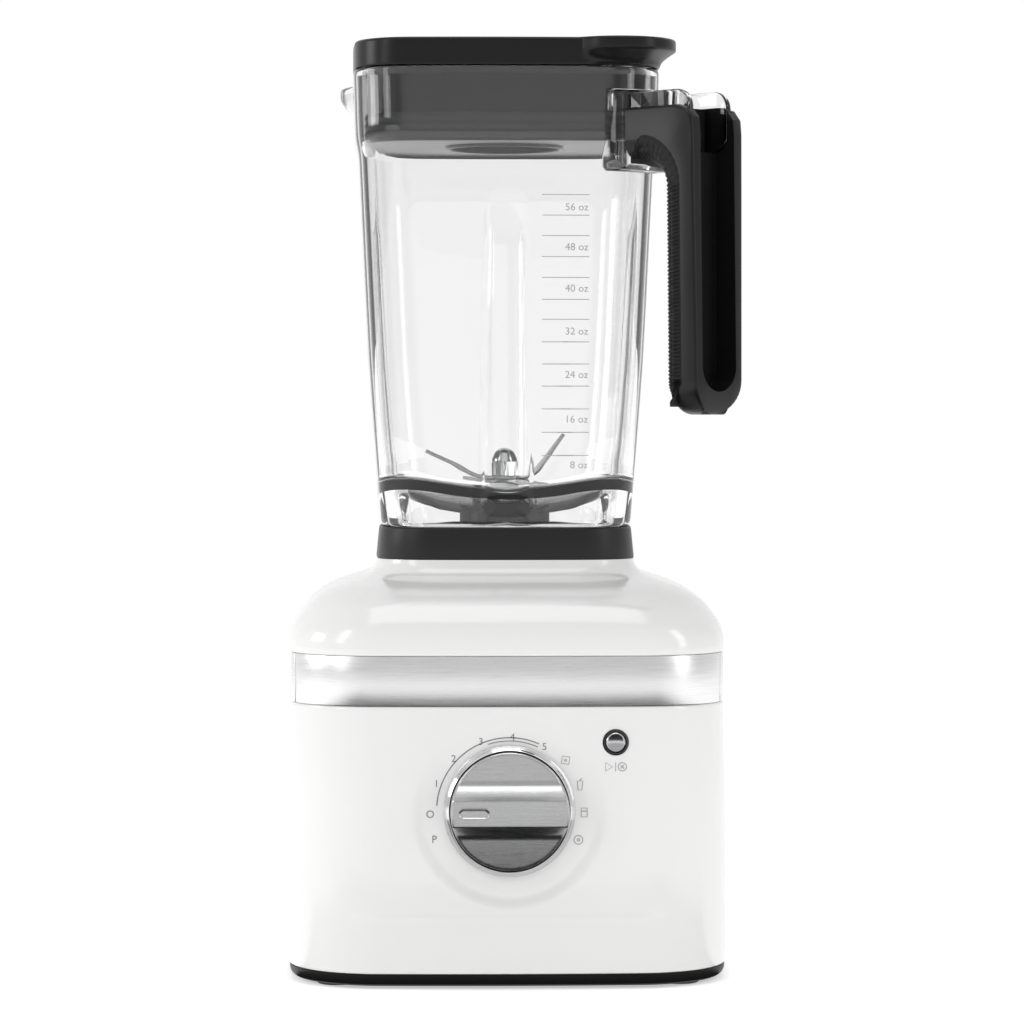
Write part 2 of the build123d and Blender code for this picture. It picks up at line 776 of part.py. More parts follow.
def make_driven_coupler():
    plate = rod(coupler_radius, driven_plate_low, driven_plate_low + coupler_plate)
    teeth = dog_teeth(driven_plate_low - tooth_height, driven_plate_low + 0.1, 180 / coupler_teeth)
    coupler = joined([plate] + teeth)
    return coupler - rod(blade_shaft_radius + running, driven_plate_low + 1, driven_plate_low + 9)


def make_blade_bearing_housing():
    body = rod(blade_hub_radius, driven_plate_low + coupler_plate + 1.2, hub_top + 6)
    flange = rod(blade_hub_radius + 4, hub_top + 1.2, hub_top + 4)
    return body + flange - rod(6.5, driven_plate_low, hub_top + 8)


def make_blade_bushes():
    low = driven_plate_low + coupler_plate + 2
    rings = [tube(6.5 - running, blade_shaft_radius + running, z, z + 5.5) for z in (low, hub_top + 0.3)]
    return Compound(children=rings)


def make_blade_seal():
    return tube(blade_hub_radius + 4, blade_hub_radius + 0.1, hub_top, hub_top + 1.2)


def make_retaining_ring():
    ring = tube(ring_radius, blade_hub_radius + running, floor_bottom - ring_height, floor_bottom)
    for k in range(8):
        notch = Rot(0, 0, 45 * k) * Pos(ring_radius, 0, floor_bottom - ring_height / 2) * Box(3, 6, ring_height + 2)
        ring = ring - notch
    return ring - rod(coupler_radius + 1, floor_bottom - ring_height - 1, driven_plate_low + coupler_plate + 0.8)


def make_blade_shaft():
    return rod(blade_shaft_radius, driven_plate_low + 1.1, blade_root + 6)


def make_blade_spacer():
    return tube(7.0, blade_shaft_radius + running, hub_top + 6.6, blade_root)


def ribbon(points, thickness):
    """Closed outline of a bent strip that follows a list of points."""
    upper = []
    lower = []
    for index, (x, z) in enumerate(points):
        before = points[max(index - 1, 0)]
        after = points[min(index + 1, len(points) - 1)]
        along = math.atan2(after[1] - before[1], after[0] - before[0])
        upper.append((x - math.sin(along) * thickness / 2, z + math.cos(along) * thickness / 2))
        lower.append((x + math.sin(along) * thickness / 2, z - math.cos(along) * thickness / 2))
    return make_face(Polyline(*(upper + lower[::-1]), close=True))


def bent_blade(left_reach, left_rise, right_reach, right_rise, root_z, turn):
    """Strip of blade steel with a flat root and two bent wings that taper to their tips."""
    middle = root_z + blade_thickness / 2
    root = 9.0
    points = [(-left_reach, middle + left_rise), (-root, middle), (root, middle),
              (right_reach, middle + right_rise)]
    strip = extrude(Plane.XZ * ribbon(points, blade_thickness), blade_width / 2, both=True)
    half = blade_width / 2
    outline = Polyline((-left_reach - 2, -half * 0.3), (-root, -half), (root, -half),
                       (right_reach + 2, -half * 0.3), (right_reach + 2, half * 0.5), (root, half),
                       (-root, half), (-left_reach - 2, half * 0.5), close=True)
    column = extrude(Pos(0, 0, root_z - 20) * make_face(outline), 60)
    blade = (strip & column) - rod(blade_shaft_radius + running, root_z - 20, root_z + 30)
    return Rot(0, 0, turn) * blade


def make_lower_blade():
    return bent_blade(33.0, 1.0, 34.0, -3.6, blade_root, -61.0)


def make_upper_blade():
    return bent_blade(36.7, 10.5, 27.8, 19.0, blade_root + blade_thickness + running, 0.0)


def make_blade_nut():
    low = blade_root + 2 * blade_thickness + 2 * running
    hexagon = extrude(Pos(0, 0, low) * RegularPolygon(6.6, 6), 5.5)
    collar = rod(6.0, low + 5.4, low + 6.5)
    cap = Pos(0, 0, low + 6.4) * Sphere(5.0)
    cap = cap & rod(5.5, low + 6.3, low + 13)
    return joined([hexagon, collar, cap]) - rod(blade_shaft_radius + running, low - 1, blade_root + 6.1)


# ---------------------------------------------------------------- jar
diagonal = Rot(0, 0, -45)
foot_half = neck_half - pad_taper + 0.2 - pad_wall - jar_foot_clearance
foot_corner = neck_corner - pad_wall - jar_foot_clearance
jar_stations = [(0.0, jar_bottom_half), (0.25, jar_bottom_half + 0.33 * (jar_rim_half - jar_bottom_half)),
                (0.5, jar_bottom_half + 0.58 * (jar_rim_half - jar_bottom_half)), (1.0, jar_rim_half - jar_band_step)]


def jar_half(z):
    """Half width of the jar wall at a height, along its gentle taper."""
    share = (z - jar_shoulder) / (jar_band_low - jar_shoulder)
    for (s0, h0), (s1, h1) in zip(jar_stations, jar_stations[1:]):
        if share <= s1:
            return h0 + (h1 - h0) * (share - s0) / (s1 - s0)
    return jar_rim_half


def jar_column(inset, z_low, z_high):
    """Solid body of the jar between two heights, a given distance inside its outer wall."""
    levels = [jar_shoulder + share * (jar_band_low - jar_shoulder) for share, half in jar_stations]
    levels = [z_low] + [z for z in levels if z_low + 5 < z < z_high - 5]
    if z_high > jar_band_low:
        levels = [z for z in levels if z < jar_band_low]
        tapered = loft([at_z(jar_plan(jar_half(z), inset), z) for z in levels + [jar_band_low]])
        top_half = jar_half(jar_band_low) + jar_band_step
        band = loft([at_z(jar_plan(jar_half(jar_band_low), inset), jar_band_low),
                     at_z(jar_plan(top_half, inset), jar_band_low + 4),
                     at_z(jar_plan(jar_rim_half, inset), z_high)], ruled=True)
        return tapered + band
    return loft([at_z(jar_plan(jar_half(z), inset), z) for z in levels + [z_high]])


def flutes(extra):
    """Four grooves down the middle of the jar's faces, as round-ended tapered columns."""
    top = jar_rim - flute_top_gap
    bottom = jar_shoulder + flute_bottom_gap
    radius = flute_radius + extra
    reach_top = jar_half(top) - flute_depth_high + flute_radius
    reach_low = jar_half(bottom) - flute_depth_low + flute_radius
    upper = top - flute_radius * 0.6
    column = loft([Pos(0, -reach_low, bottom) * Circle(radius), Pos(0, -reach_top, upper) * Circle(radius)])
    column = column + Pos(0, -reach_low, bottom) * Sphere(radius) + Pos(0, -reach_top, upper) * Sphere(radius)
    return [Rot(0, 0, 90 * k) * column for k in range(4)]


def make_jar_dish():
    """Sloping floor of the jar, from the wall down to the blade hub."""
    rim_half = jar_half(floor_edge) - 0.4 * jar_wall
    thickness = hub_top - floor_bottom
    hub = plan(hub_half, hub_half, jar_bow, jar_corner)
    rim = plan(rim_half, rim_half, jar_bow, jar_corner - 0.4 * jar_wall)
    low = loft([at_z(hub, floor_bottom), at_z(rim, floor_edge - thickness)])
    low = low + prism(rim, floor_edge - thickness - 0.01, floor_edge - 0.01)
    high = loft([at_z(hub, hub_top), at_z(rim, floor_edge)])
    return low - high


def spout(shrink, drop):
    """Pouring lip on the rear left corner, as a cone that leans outwards."""
    corner_reach = (jar_rim_half - jar_bow - jar_corner) * math.sqrt(2) + jar_corner
    top_reach = corner_reach + spout_reach - spout_radius
    low_radius = spout_radius * 0.45
    low_reach = corner_reach - low_radius - 1.5
    cone = loft([Pos(-low_reach, 0, jar_rim - spout_height) * Circle(low_radius - shrink * 0.5),
                 Pos(-top_reach, 0, jar_rim + drop) * Circle(spout_radius - shrink)])
    return diagonal * cone


def along_handle(radius, near, far):
    """Cylinder that points along the handle's arm, at the height of the handle screw."""
    return Pos((near + far) / 2, 0, arm_top - 9) * Rot(0, 90, 0) * Cylinder(radius, far - near)


def make_jar_moulding():
    outer = jar_column(0, jar_shoulder, jar_rim)
    cavity = jar_column(jar_wall, jar_shoulder + 3, jar_rim + 0.01)
    foot = prism(plan(foot_half, foot_half, jar_bow, foot_corner), jar_bottom, jar_shoulder + 0.2)
    foot_inside = foot_half - 3.0
    foot_pocket = prism(plan(foot_inside, foot_inside, jar_bow, foot_corner - 3.0), jar_bottom - 1,
                        jar_shoulder + 3.2)
    boss = block(60, handle_start - bracket_clearance, -bracket_half, bracket_half,
                 arm_bottom - 1, arm_top + cheek_rise + 2)
    boss = fillet(boss.edges().filter_by(Axis.Y).sort_by(Axis.X)[-2:], 2.5)
    cheeks = block(84, cheek_end, -bracket_half, bracket_half, arm_bottom + bracket_low_gap, arm_top + cheek_rise)
    cheeks = fillet(cheeks.edges().filter_by(Axis.Y).sort_by(Axis.X)[-2:], cheek_corner)
    inside = bracket_half - cheek_thickness
    cheeks = cheeks - block(handle_start + 3, 140, -inside, inside, arm_bottom, arm_top + 20)
    jar = joined([outer, foot, diagonal * boss, diagonal * cheeks, spout(0, 0)])
    jar = jar - cavity - foot_pocket - spout(2.6, 0.01)
    ribs = [(flute & outer) for flute in flutes(jar_wall)]
    jar = joined([jar, make_jar_dish()] + ribs)
    for flute in flutes(0):
        jar = jar - flute
    screw = along_handle(2.1, handle_start - 5, handle_start + 9)
    return jar - rod(blade_hub_radius + 0.1, jar_shoulder - 5, hub_top + 5) - diagonal * screw


jar_moulding = make_jar_moulding()
jar_split = floor_edge + jar_split_gap


def above_jar_split():
    return block(-200, 200, -200, 200, jar_split, jar_rim + 100)


def make_jar_body():
    """Wall of the jar with its spout and handle bracket: the upper part of the moulding."""
    return jar_moulding & above_jar_split()


def make_jar_floor():
    """Foot and dished floor of the jar: the lower part of the same moulding."""
    return jar_moulding - above_jar_split()


# ---------------------------------------------------------------- handle
def side_face(points):
    return make_face(Polyline(*points, close=True))


def hand_space(grow):
    """Space for the fingers between the grip and the jar, seen from the side."""
    right = handle_inner + grow
    top = arm_bottom + grow
    face = side_face([(40, 100), (right + 1.5, 100), (right, top), (40, top)])
    return fillet(face.vertices().sort_by(lambda v: v.X + v.Y)[-1], 9 + grow)


def from_side(face, half):
    """Extrude a side view of the handle both ways across its width."""
    return extrude(Plane.XZ * face, half, both=True)


def make_handle_grip():
    outline = side_face([(handle_start, grip_bottom), (handle_outer_bottom, grip_bottom),
                         (handle_outer_top, arm_top), (handle_start, arm_top)]) - hand_space(0)
    outline = fillet(outline.vertices().sort_by(Axis.Y)[:2], 6)
    grip = from_side(outline, 30)
    sides = make_face(Polyline((-handle_width_bottom / 2, grip_bottom), (handle_width_bottom / 2, grip_bottom),
                               (handle_width_top / 2, arm_top), (-handle_width_top / 2, arm_top), close=True))
    grip = grip & extrude(Plane.YZ * sides, 200)
    channel_low = grip_bottom + 10 + channel_half
    channel_u = handle_outer_top - 12
    channel = block(channel_u, 160, -channel_half, channel_half, channel_low, arm_top + 5)
    channel_end = Pos((channel_u + 160) / 2, 0, channel_low) * Rot(0, 90, 0) * Cylinder(channel_half,
                                                                                    160 - channel_u)
    pocket_half = bracket_half + bracket_clearance
    pocket = block(handle_start - 5, cheek_end + bracket_clearance, -pocket_half, pocket_half,
                   arm_bottom + bracket_low_gap - bracket_clearance, arm_top + 20)
    grip = grip - channel - channel_end - pocket
    pad_pocket = from_side(hand_space(rib_pad_thickness), channel_half + 1.5)
    grip = grip - (pad_pocket & block(96 - 0.1, 160, -20, 20, grip_bottom + 8, arm_bottom + 10))
    web = block(handle_start + 3.3, handle_start + 6.3, -11 + bracket_clearance, 11 - bracket_clearance,
                arm_bottom + 4, arm_top)
    return diagonal * (grip + web - along_handle(2.3, handle_start + 1, handle_start + 9))


def make_handle_ribs():
    strip = hand_space(rib_pad_thickness - running) - hand_space(0)
    pad = from_side(strip, channel_half + 1.5 - running)
    pad = pad & block(96, 160, -20, 20, grip_bottom + 8.1, arm_bottom + 10)
    return diagonal * pad


def make_handle_screw():
    head = along_handle(4.2, handle_start + 6.4, handle_start + 8.6)
    return diagonal * (head + along_handle(2.0, handle_start - 4, handle_start + 7))


# ---------------------------------------------------------------- lid and cup
lid_half = jar_rim_half - lid_inset
well_radius = cup_radius + 3 * cup_clearance
well_outer = well_radius + 2.2
plug_bottom = lid_bottom - plug_depth
plug_floor = plug_bottom + 6.0
top_plate_z = lid_top - lid_wall
flange_radius = cup_radius + cup_flange
flange_z = lid_top + cup_crown - 3.3


def make_lid_shell():
    lid_face = plan(lid_half, lid_half, jar_bow, lid_corner)
    rim = prism(lid_face, lid_bottom, lid_top)
    centre = lid_half + tab_reach - tab_radius
    bulge = Pos(centre, -centre) * Circle(tab_radius)
    outline = lid_face + bulge
    far = [v for v in outline.vertices() if v.X > 0 and v.Y < 0 and v.X - v.Y < 2 * lid_half - 20]
    outline = fillet([v for v in far if v.X - v.Y > lid_half + 10], 8)
    tab = extrude(at_z(outline, lid_top - tab_lip), tab_lip)
    body = rim + tab
    body = fillet(body.faces().sort_by(Axis.Z)[-1].outer_wire().edges(), 1.2)
    hollow_half = lid_half - lid_wall
    hollow = prism(plan(hollow_half, hollow_half, jar_bow, lid_corner - lid_wall), lid_bottom - 1, top_plate_z)
    return body - hollow - rod(flange_radius + cup_clearance, lid_bottom, lid_top + 5)


def plug_half(z, inset):
    """Half width of the lid's plug at a height, inside the jar's wall."""
    return jar_half(min(z, jar_band_low - 0.01)) - jar_wall - plug_clearance - inset


def plug_column(inset, z_low, z_high):
    half_low = plug_half(z_low, inset)
    half_high = half_low + 1.5
    corner = jar_corner - jar_wall - plug_clearance - inset
    return loft([at_z(plan(half_low, half_low, jar_bow, corner), z_low),
                 at_z(plan(half_high, half_high, jar_bow, corner), z_high)])


def make_lid_plug():
    wall = plug_column(0, plug_bottom, top_plate_z) - plug_column(plug_wall, plug_bottom, top_plate_z + 0.01)
    floor_half = plug_half(plug_bottom, 1.0)
    floor = prism(plan(floor_half, floor_half, jar_bow, jar_corner - jar_wall - 2), plug_floor, plug_floor + plug_wall)
    well = rod(well_outer, plug_floor, flange_z - 0.05)
    groove_low = plug_bottom + 10
    groove = prism(jar_plan(100), groove_low, groove_low + gasket_height)
    groove = groove - plug_column(1.2, groove_low - 1, groove_low + gasket_height + 1)
    wall = wall - groove
    return joined([wall, floor, well]) - rod(well_radius, plug_floor - 1, lid_top + 5)


def make_lid_gasket():
    low = plug_bottom + 10 + running
    high = low + gasket_height - 2 * running
    core = plug_column(-0.1, low, high) - plug_column(1.2 - running, low - 1, high + 1)
    lips = []
    for k in range(3):
        z = low + 0.6 + k * (high - low - 2.4) / 2
        reach = jar_half(min(z, jar_band_low - 0.01)) - jar_wall - gasket_clearance
        lip = prism(plan(reach, reach, jar_bow, jar_corner - jar_wall - gasket_clearance), z, z + 1.2)
        lips.append(lip - plug_column(0.3, low - 2, high + 2))
    return joined([core] + lips)


def make_ingredient_cup():
    cup_bottom = plug_floor + 3
    body = rod(cup_radius, cup_bottom, flange_z + 1) + rod(flange_radius, flange_z, lid_top + cup_crown)
    body = fillet(body.faces().sort_by(Axis.Z)[-1].edges(), 1.0)
    return body - rod(cup_radius - cup_wall, cup_bottom - 1, flange_z - 0.5)


def make_cup_seal():
    z = flange_z - 12
    return tube(well_radius - 0.2, cup_radius, z, z + 3)


# ---------------------------------------------------------------- write every sub-part
sub_parts = {
    "base_plate": make_base_plate,
    "rubber_feet": make_rubber_feet,
    "base_screws": make_base_screws,
    "lower_housing": make_lower_housing,
    "rear_grille": make_rear_grille,
    "cord_gland": make_cord_gland,
    "band_front": make_band_front,
    "band_rear": make_band_rear,
    "upper_housing": make_upper_housing,
    "jar_pad": make_jar_pad,
    "dial_bezel": make_dial_bezel,
    "dial_knob": make_dial_knob,
    "dial_shaft": make_dial_shaft,
    "encoder_body": make_encoder_body,
    "control_board": make_control_board,
    "button_bezel": make_button_bezel,
    "start_button": make_start_button,
    "button_spring": make_button_spring,
    "button_switch": make_button_switch,
    "power_board": make_power_board,
    "motor_stator": make_motor_stator,
    "field_coils": make_field_coils,
    "motor_bottom_bracket": make_motor_bottom_bracket,
    "motor_top_bracket": make_motor_top_bracket,
    "lower_bearing": lambda: bearing(lower_bearing_low),
    "upper_bearing": lambda: bearing(upper_bearing_low),
    "brush_holders": make_brush_holders,
    "carbon_brushes": make_carbon_brushes,
    "motor_dampers": make_motor_dampers,
    "motor_screws": make_motor_screws,
    "air_baffle": make_air_baffle,
    "motor_shaft": make_motor_shaft,
    "armature_core": make_armature_core,
    "armature_windings": make_armature_windings,
    "commutator": make_commutator,
    "cooling_fan": make_cooling_fan,
    "drive_coupler": make_drive_coupler,
    "driven_coupler": make_driven_coupler,
    "blade_bearing_housing": make_blade_bearing_housing,
    "blade_bushes": make_blade_bushes,
    "blade_seal": make_blade_seal,
    "retaining_ring": make_retaining_ring,
    "blade_shaft": make_blade_shaft,
    "blade_spacer": make_blade_spacer,
    "lower_blade": make_lower_blade,
    "upper_blade": make_upper_blade,
    "blade_nut": make_blade_nut,
    "jar_body": make_jar_body,
    "jar_floor": make_jar_floor,
    "handle_grip": make_handle_grip,
    "handle_ribs": make_handle_ribs,
    "handle_screw": make_handle_screw,
    "lid_shell": make_lid_shell,
    "lid_plug": make_lid_plug,
    "lid_gasket": make_lid_gasket,
    "ingredient_cup": make_ingredient_cup,
    "cup_seal": make_cup_seal,
}

os.makedirs("parts", exist_ok=True)
for part_name, make in sub_parts.items():
    save(make(), part_name)
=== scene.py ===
import math

import bmesh
import bpy
import numpy as np
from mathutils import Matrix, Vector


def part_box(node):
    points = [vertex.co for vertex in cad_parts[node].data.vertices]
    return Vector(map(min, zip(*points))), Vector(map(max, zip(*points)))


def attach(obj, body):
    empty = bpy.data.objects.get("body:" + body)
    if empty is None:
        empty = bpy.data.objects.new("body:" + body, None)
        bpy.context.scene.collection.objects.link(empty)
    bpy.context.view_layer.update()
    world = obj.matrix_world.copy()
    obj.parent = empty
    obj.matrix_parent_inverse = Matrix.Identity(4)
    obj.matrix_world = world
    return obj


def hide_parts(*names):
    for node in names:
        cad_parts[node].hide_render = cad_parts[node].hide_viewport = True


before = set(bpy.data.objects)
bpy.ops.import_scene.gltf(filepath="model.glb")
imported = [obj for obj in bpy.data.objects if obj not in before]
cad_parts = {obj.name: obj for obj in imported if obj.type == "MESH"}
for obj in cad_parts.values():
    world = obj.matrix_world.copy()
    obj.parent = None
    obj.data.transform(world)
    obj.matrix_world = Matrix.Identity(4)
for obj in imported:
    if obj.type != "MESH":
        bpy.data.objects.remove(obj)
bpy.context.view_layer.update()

# Countertop blender. Geometry below is worked out in millimetres and stored in metres.
# -Y is the front, +X the right-hand side, +Z up along the drive axis.
MM = 0.001


def low(node):
    """Lowest corner of a CAD part, in millimetres."""
    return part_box(node)[0] / MM


def high(node):
    """Highest corner of a CAD part, in millimetres."""
    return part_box(node)[1] / MM


# ---------------------------------------------------------------- levels and sizes from the frame
foot_top = low("lower_housing").z
band_low = low("band_front").z
band_high = high("band_front").z
neck_top = low("jar_pad").z
pad_top = high("jar_pad").z
jar_low = low("jar_floor").z
jar_rim = high("jar_body").z
lid_low = low("lid_shell").z
lid_high = high("lid_shell").z
cup_high = high("ingredient_cup").z
base_half_x = (high("band_rear").x - low("band_rear").x) / 2 + 1.5
base_half_y = high("band_rear").y + 1.5
panel_y = high("dial_bezel").y
knob_front = low("dial_knob").y
dial_z = (low("dial_knob").z + high("dial_knob").z) / 2
button_x = (low("start_button").x + high("start_button").x) / 2
button_z = (low("start_button").z + high("start_button").z) / 2
button_front = low("start_button").y

BASE_BOW = 4.0
BASE_CORNER = 42.0
NECK_HALF = 58.5
NECK_CORNER = 27.0
JAR_BOW = 3.0
JAR_CORNER = 26.0
JAR_WALL = 3.2


# ---------------------------------------------------------------- camera
VIEW_DISTANCE = 1.747
VIEW_TURN = math.radians(1.3)
EYE_LEVEL = 0.2455

camera_data = bpy.data.cameras.new("camera")
camera_data.lens = 133.7
camera_data.sensor_width = 36.0
camera_data.shift_x = 0.0075
camera_data.shift_y = -0.087
camera = bpy.data.objects.new("camera", camera_data)
camera.location = (-VIEW_DISTANCE * math.sin(VIEW_TURN), -VIEW_DISTANCE * math.cos(VIEW_TURN), EYE_LEVEL)
camera.rotation_euler = (math.pi / 2, 0, -VIEW_TURN)
bpy.context.scene.collection.objects.link(camera)
bpy.context.scene.camera = camera
bpy.context.scene.view_settings.view_transform = "Standard"


# ---------------------------------------------------------------- outlines
def circle_reach(cos_a, sin_a, centre, radius):
    """Distance from the axis to a circle, along each direction."""
    along = cos_a * centre[0] + sin_a * centre[1]
    return along + np.sqrt(np.maximum(along ** 2 - centre[0] ** 2 - centre[1] ** 2 + radius ** 2, 0))


def bowed_square(angles, half_x, half_y, bow, corner):
    """Distance from the axis to a rounded square with bowed sides, along each direction."""
    cos_a = np.abs(np.cos(angles))
    sin_a = np.abs(np.sin(angles))
    flat_x = half_x - bow
    flat_y = half_y - bow
    radius_y = (flat_x ** 2 + bow ** 2) / (2 * bow)
    radius_x = (flat_y ** 2 + bow ** 2) / (2 * bow)
    centre_y = np.array([0.0, half_y - radius_y])
    centre_x = np.array([half_x - radius_x, 0.0])
    gap = centre_x - centre_y
    spread = np.linalg.norm(gap)
    reach_y = radius_y - corner
    reach_x = radius_x - corner
    along = (reach_y ** 2 - reach_x ** 2 + spread ** 2) / (2 * spread)
    across = math.sqrt(max(reach_y ** 2 - along ** 2, 0))
    sideways = np.array([gap[1], -gap[0]]) / spread
    corner_centre = centre_y + gap / spread * along + sideways * across
    touch_y = centre_y + (corner_centre - centre_y) * radius_y / reach_y
    touch_x = centre_x + (corner_centre - centre_x) * radius_x / reach_x
    direction = np.arctan2(sin_a, cos_a)
    result = circle_reach(cos_a, sin_a, corner_centre, corner)
    upper = direction >= math.atan2(touch_y[1], touch_y[0])
    lower = direction <= math.atan2(touch_x[1], touch_x[0])
    result = np.where(upper, circle_reach(cos_a, sin_a, centre_y, radius_y), result)
    return np.where(lower, circle_reach(cos_a, sin_a, centre_x, radius_x), result)


def face_angles(half, fine_width, fine_step, coarse_step):
    """Directions round the axis, closer together at the middle of each face."""
    steps = [0.0]
    while steps[-1] < half * 0.98:
        steps.append(steps[-1] + (fine_step if steps[-1] < fine_width else coarse_step))
    steps = [s for s in steps if s < half * 0.96] + [half]
    quarter = [math.atan2(s, half) for s in steps]
    one_face = [-a for a in reversed(quarter[1:])] + quarter[:-1]
    angles = []
    for face in range(4):
        angles += [a + face * math.pi / 2 for a in one_face]
    return np.array(angles)


def smooth_step(value, start, end):
    """0 before start, 1 after end, with a smooth change between."""
    t = np.clip((value - start) / (end - start), 0, 1)
    return t * t * (3 - 2 * t)


def spline(points, count):
    """Smooth curve through a few profile points."""
    points = np.array(points, float)
    padded = np.vstack([2 * points[0] - points[1], points, 2 * points[-1] - points[-2]])
    curve = []
    for index in range(len(points) - 1):
        a, b, c, d = padded[index:index + 4]
        for t in np.linspace(0, 1, count, endpoint=False):
            curve.append(0.5 * ((2 * b) + (c - a) * t + (2 * a - 5 * b + 4 * c - d) * t ** 2
                                + (3 * b - a - 3 * c + d) * t ** 3))
    curve.append(points[-1])
    return np.array(curve)


# ---------------------------------------------------------------- mesh helpers
def make_object(name, vertices, faces, sharp_degrees=35):
    """Mesh object from millimetre points, smooth apart from its sharp edges."""
    mesh = bpy.data.meshes.new(name)
    mesh.from_pydata([tuple(v) for v in np.asarray(vertices) * MM], [], faces)
    built = bmesh.new()
    built.from_mesh(mesh)
    bmesh.ops.remove_doubles(built, verts=built.verts, dist=1e-7)
    bmesh.ops.dissolve_degenerate(built, dist=1e-8, edges=built.edges)
    bmesh.ops.recalc_face_normals(built, faces=built.faces)
    built.to_mesh(mesh)
    built.free()
    mesh.shade_smooth()
    mesh.set_sharp_from_angle(angle=math.radians(sharp_degrees))
    piece = bpy.data.objects.new(name, mesh)
    bpy.context.scene.collection.objects.link(piece)
    return piece


def skin(name, rings, wrap=True, loop=False, caps=False, sharp_degrees=35):
    """Surface through a list of rings that have the same number of points."""
    count = len(rings[0])
    vertices = np.vstack(rings)
    faces = []
    levels = len(rings) if loop else len(rings) - 1
    for i in range(levels):
        upper = (i + 1) % len(rings)
        for j in range(count if wrap else count - 1):
            k = (j + 1) % count
            faces.append((i * count + j, i * count + k, upper * count + k, upper * count + j))
    if caps:
        faces.append(tuple(range(count)))
        faces.append(tuple((len(rings) - 1) * count + j for j in range(count)))
    return make_object(name, vertices, faces, sharp_degrees)


def level_ring(angles, reach, z):
    """Ring of points round the drive axis."""
    z = np.broadcast_to(z, angles.shape)
    return np.column_stack([reach * np.cos(angles), reach * np.sin(angles), z])


def lathe(name, profile, segments=96, centre=(0.0, 0.0, 0.0), axis="Z", sharp_degrees=35):
    """Closed profile of (radius, height) points, turned round an upright or a front-to-back axis."""
    turn = np.linspace(0, 2 * math.pi, segments, endpoint=False)
    rings = []
    for radius, height in profile:
        if axis == "Z":
            ring = np.column_stack([radius * np.cos(turn), radius * np.sin(turn), np.full(segments, height)])
        else:
            ring = np.column_stack([radius * np.cos(turn), np.full(segments, height), radius * np.sin(turn)])
        rings.append(ring + np.array(centre))
    return skin(name, rings, loop=True, sharp_degrees=sharp_degrees)


def finished_mesh(piece):
    """Apply a piece's modifiers to its mesh."""
    graph = bpy.context.evaluated_depsgraph_get()
    graph.update()
    mesh = bpy.data.meshes.new_from_object(piece.evaluated_get(graph))
    old = piece.data
    piece.modifiers.clear()
    piece.data = mesh
    bpy.data.meshes.remove(old)
    return piece


def combine(piece, other, operation):
    """Boolean of one piece with another, which is used up."""
    modifier = piece.modifiers.new("combine", "BOOLEAN")
    modifier.operation = operation
    modifier.object = other
    modifier.solver = "EXACT"
    finished_mesh(piece)
    bpy.data.objects.remove(other)
    piece.data.shade_smooth()
    piece.data.set_sharp_from_angle(angle=math.radians(32))
    return piece


def round_edges(piece, width, segments=3, degrees=38):
    """Small radius on every sharp edge."""
    modifier = piece.modifiers.new("round", "BEVEL")
    modifier.width = width * MM
    modifier.segments = segments
    modifier.limit_method = "ANGLE"
    modifier.angle_limit = math.radians(degrees)
    modifier.harden_normals = True
    modifier.use_clamp_overlap = True
    return finished_mesh(piece)


def box_piece(name, lowest, highest):
    """Plain box used as a cutter."""
    x0, y0, z0 = lowest
    x1, y1, z1 = highest
    rings = [[(x0, y0, z), (x1, y0, z), (x1, y1, z), (x0, y1, z)] for z in (z0, z1)]
    return skin(name, [np.array(r, float) for r in rings], caps=True)


def place(piece, body, slot, material, *nodes):
    """Give a finished piece its material and its body, and hide the CAD parts that it stands for."""
    piece.data.materials.clear()
    piece.data.materials.append(material)
    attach(piece, body)
    if nodes:
        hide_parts(*nodes)
    return piece


# ---------------------------------------------------------------- surface patterns shared by materials
def new_pattern(name, inputs, outputs):
    """Node group with named inputs and outputs, and its two end nodes."""
    group = bpy.data.node_groups.new(name, "ShaderNodeTree")
    for label, kind, value in inputs:
        socket = group.interface.new_socket(name=label, in_out="INPUT", socket_type=kind)
        socket.default_value = value
    for label, kind in outputs:
        group.interface.new_socket(name=label, in_out="OUTPUT", socket_type=kind)
    start = group.nodes.new("NodeGroupInput")
    end = group.nodes.new("NodeGroupOutput")
    return group, start, end


def add_node(tree, kind, **settings):
    """Shader node with its plain settings."""
    node = tree.nodes.new(kind)
    for key, value in settings.items():
        setattr(node, key, value)
    return node


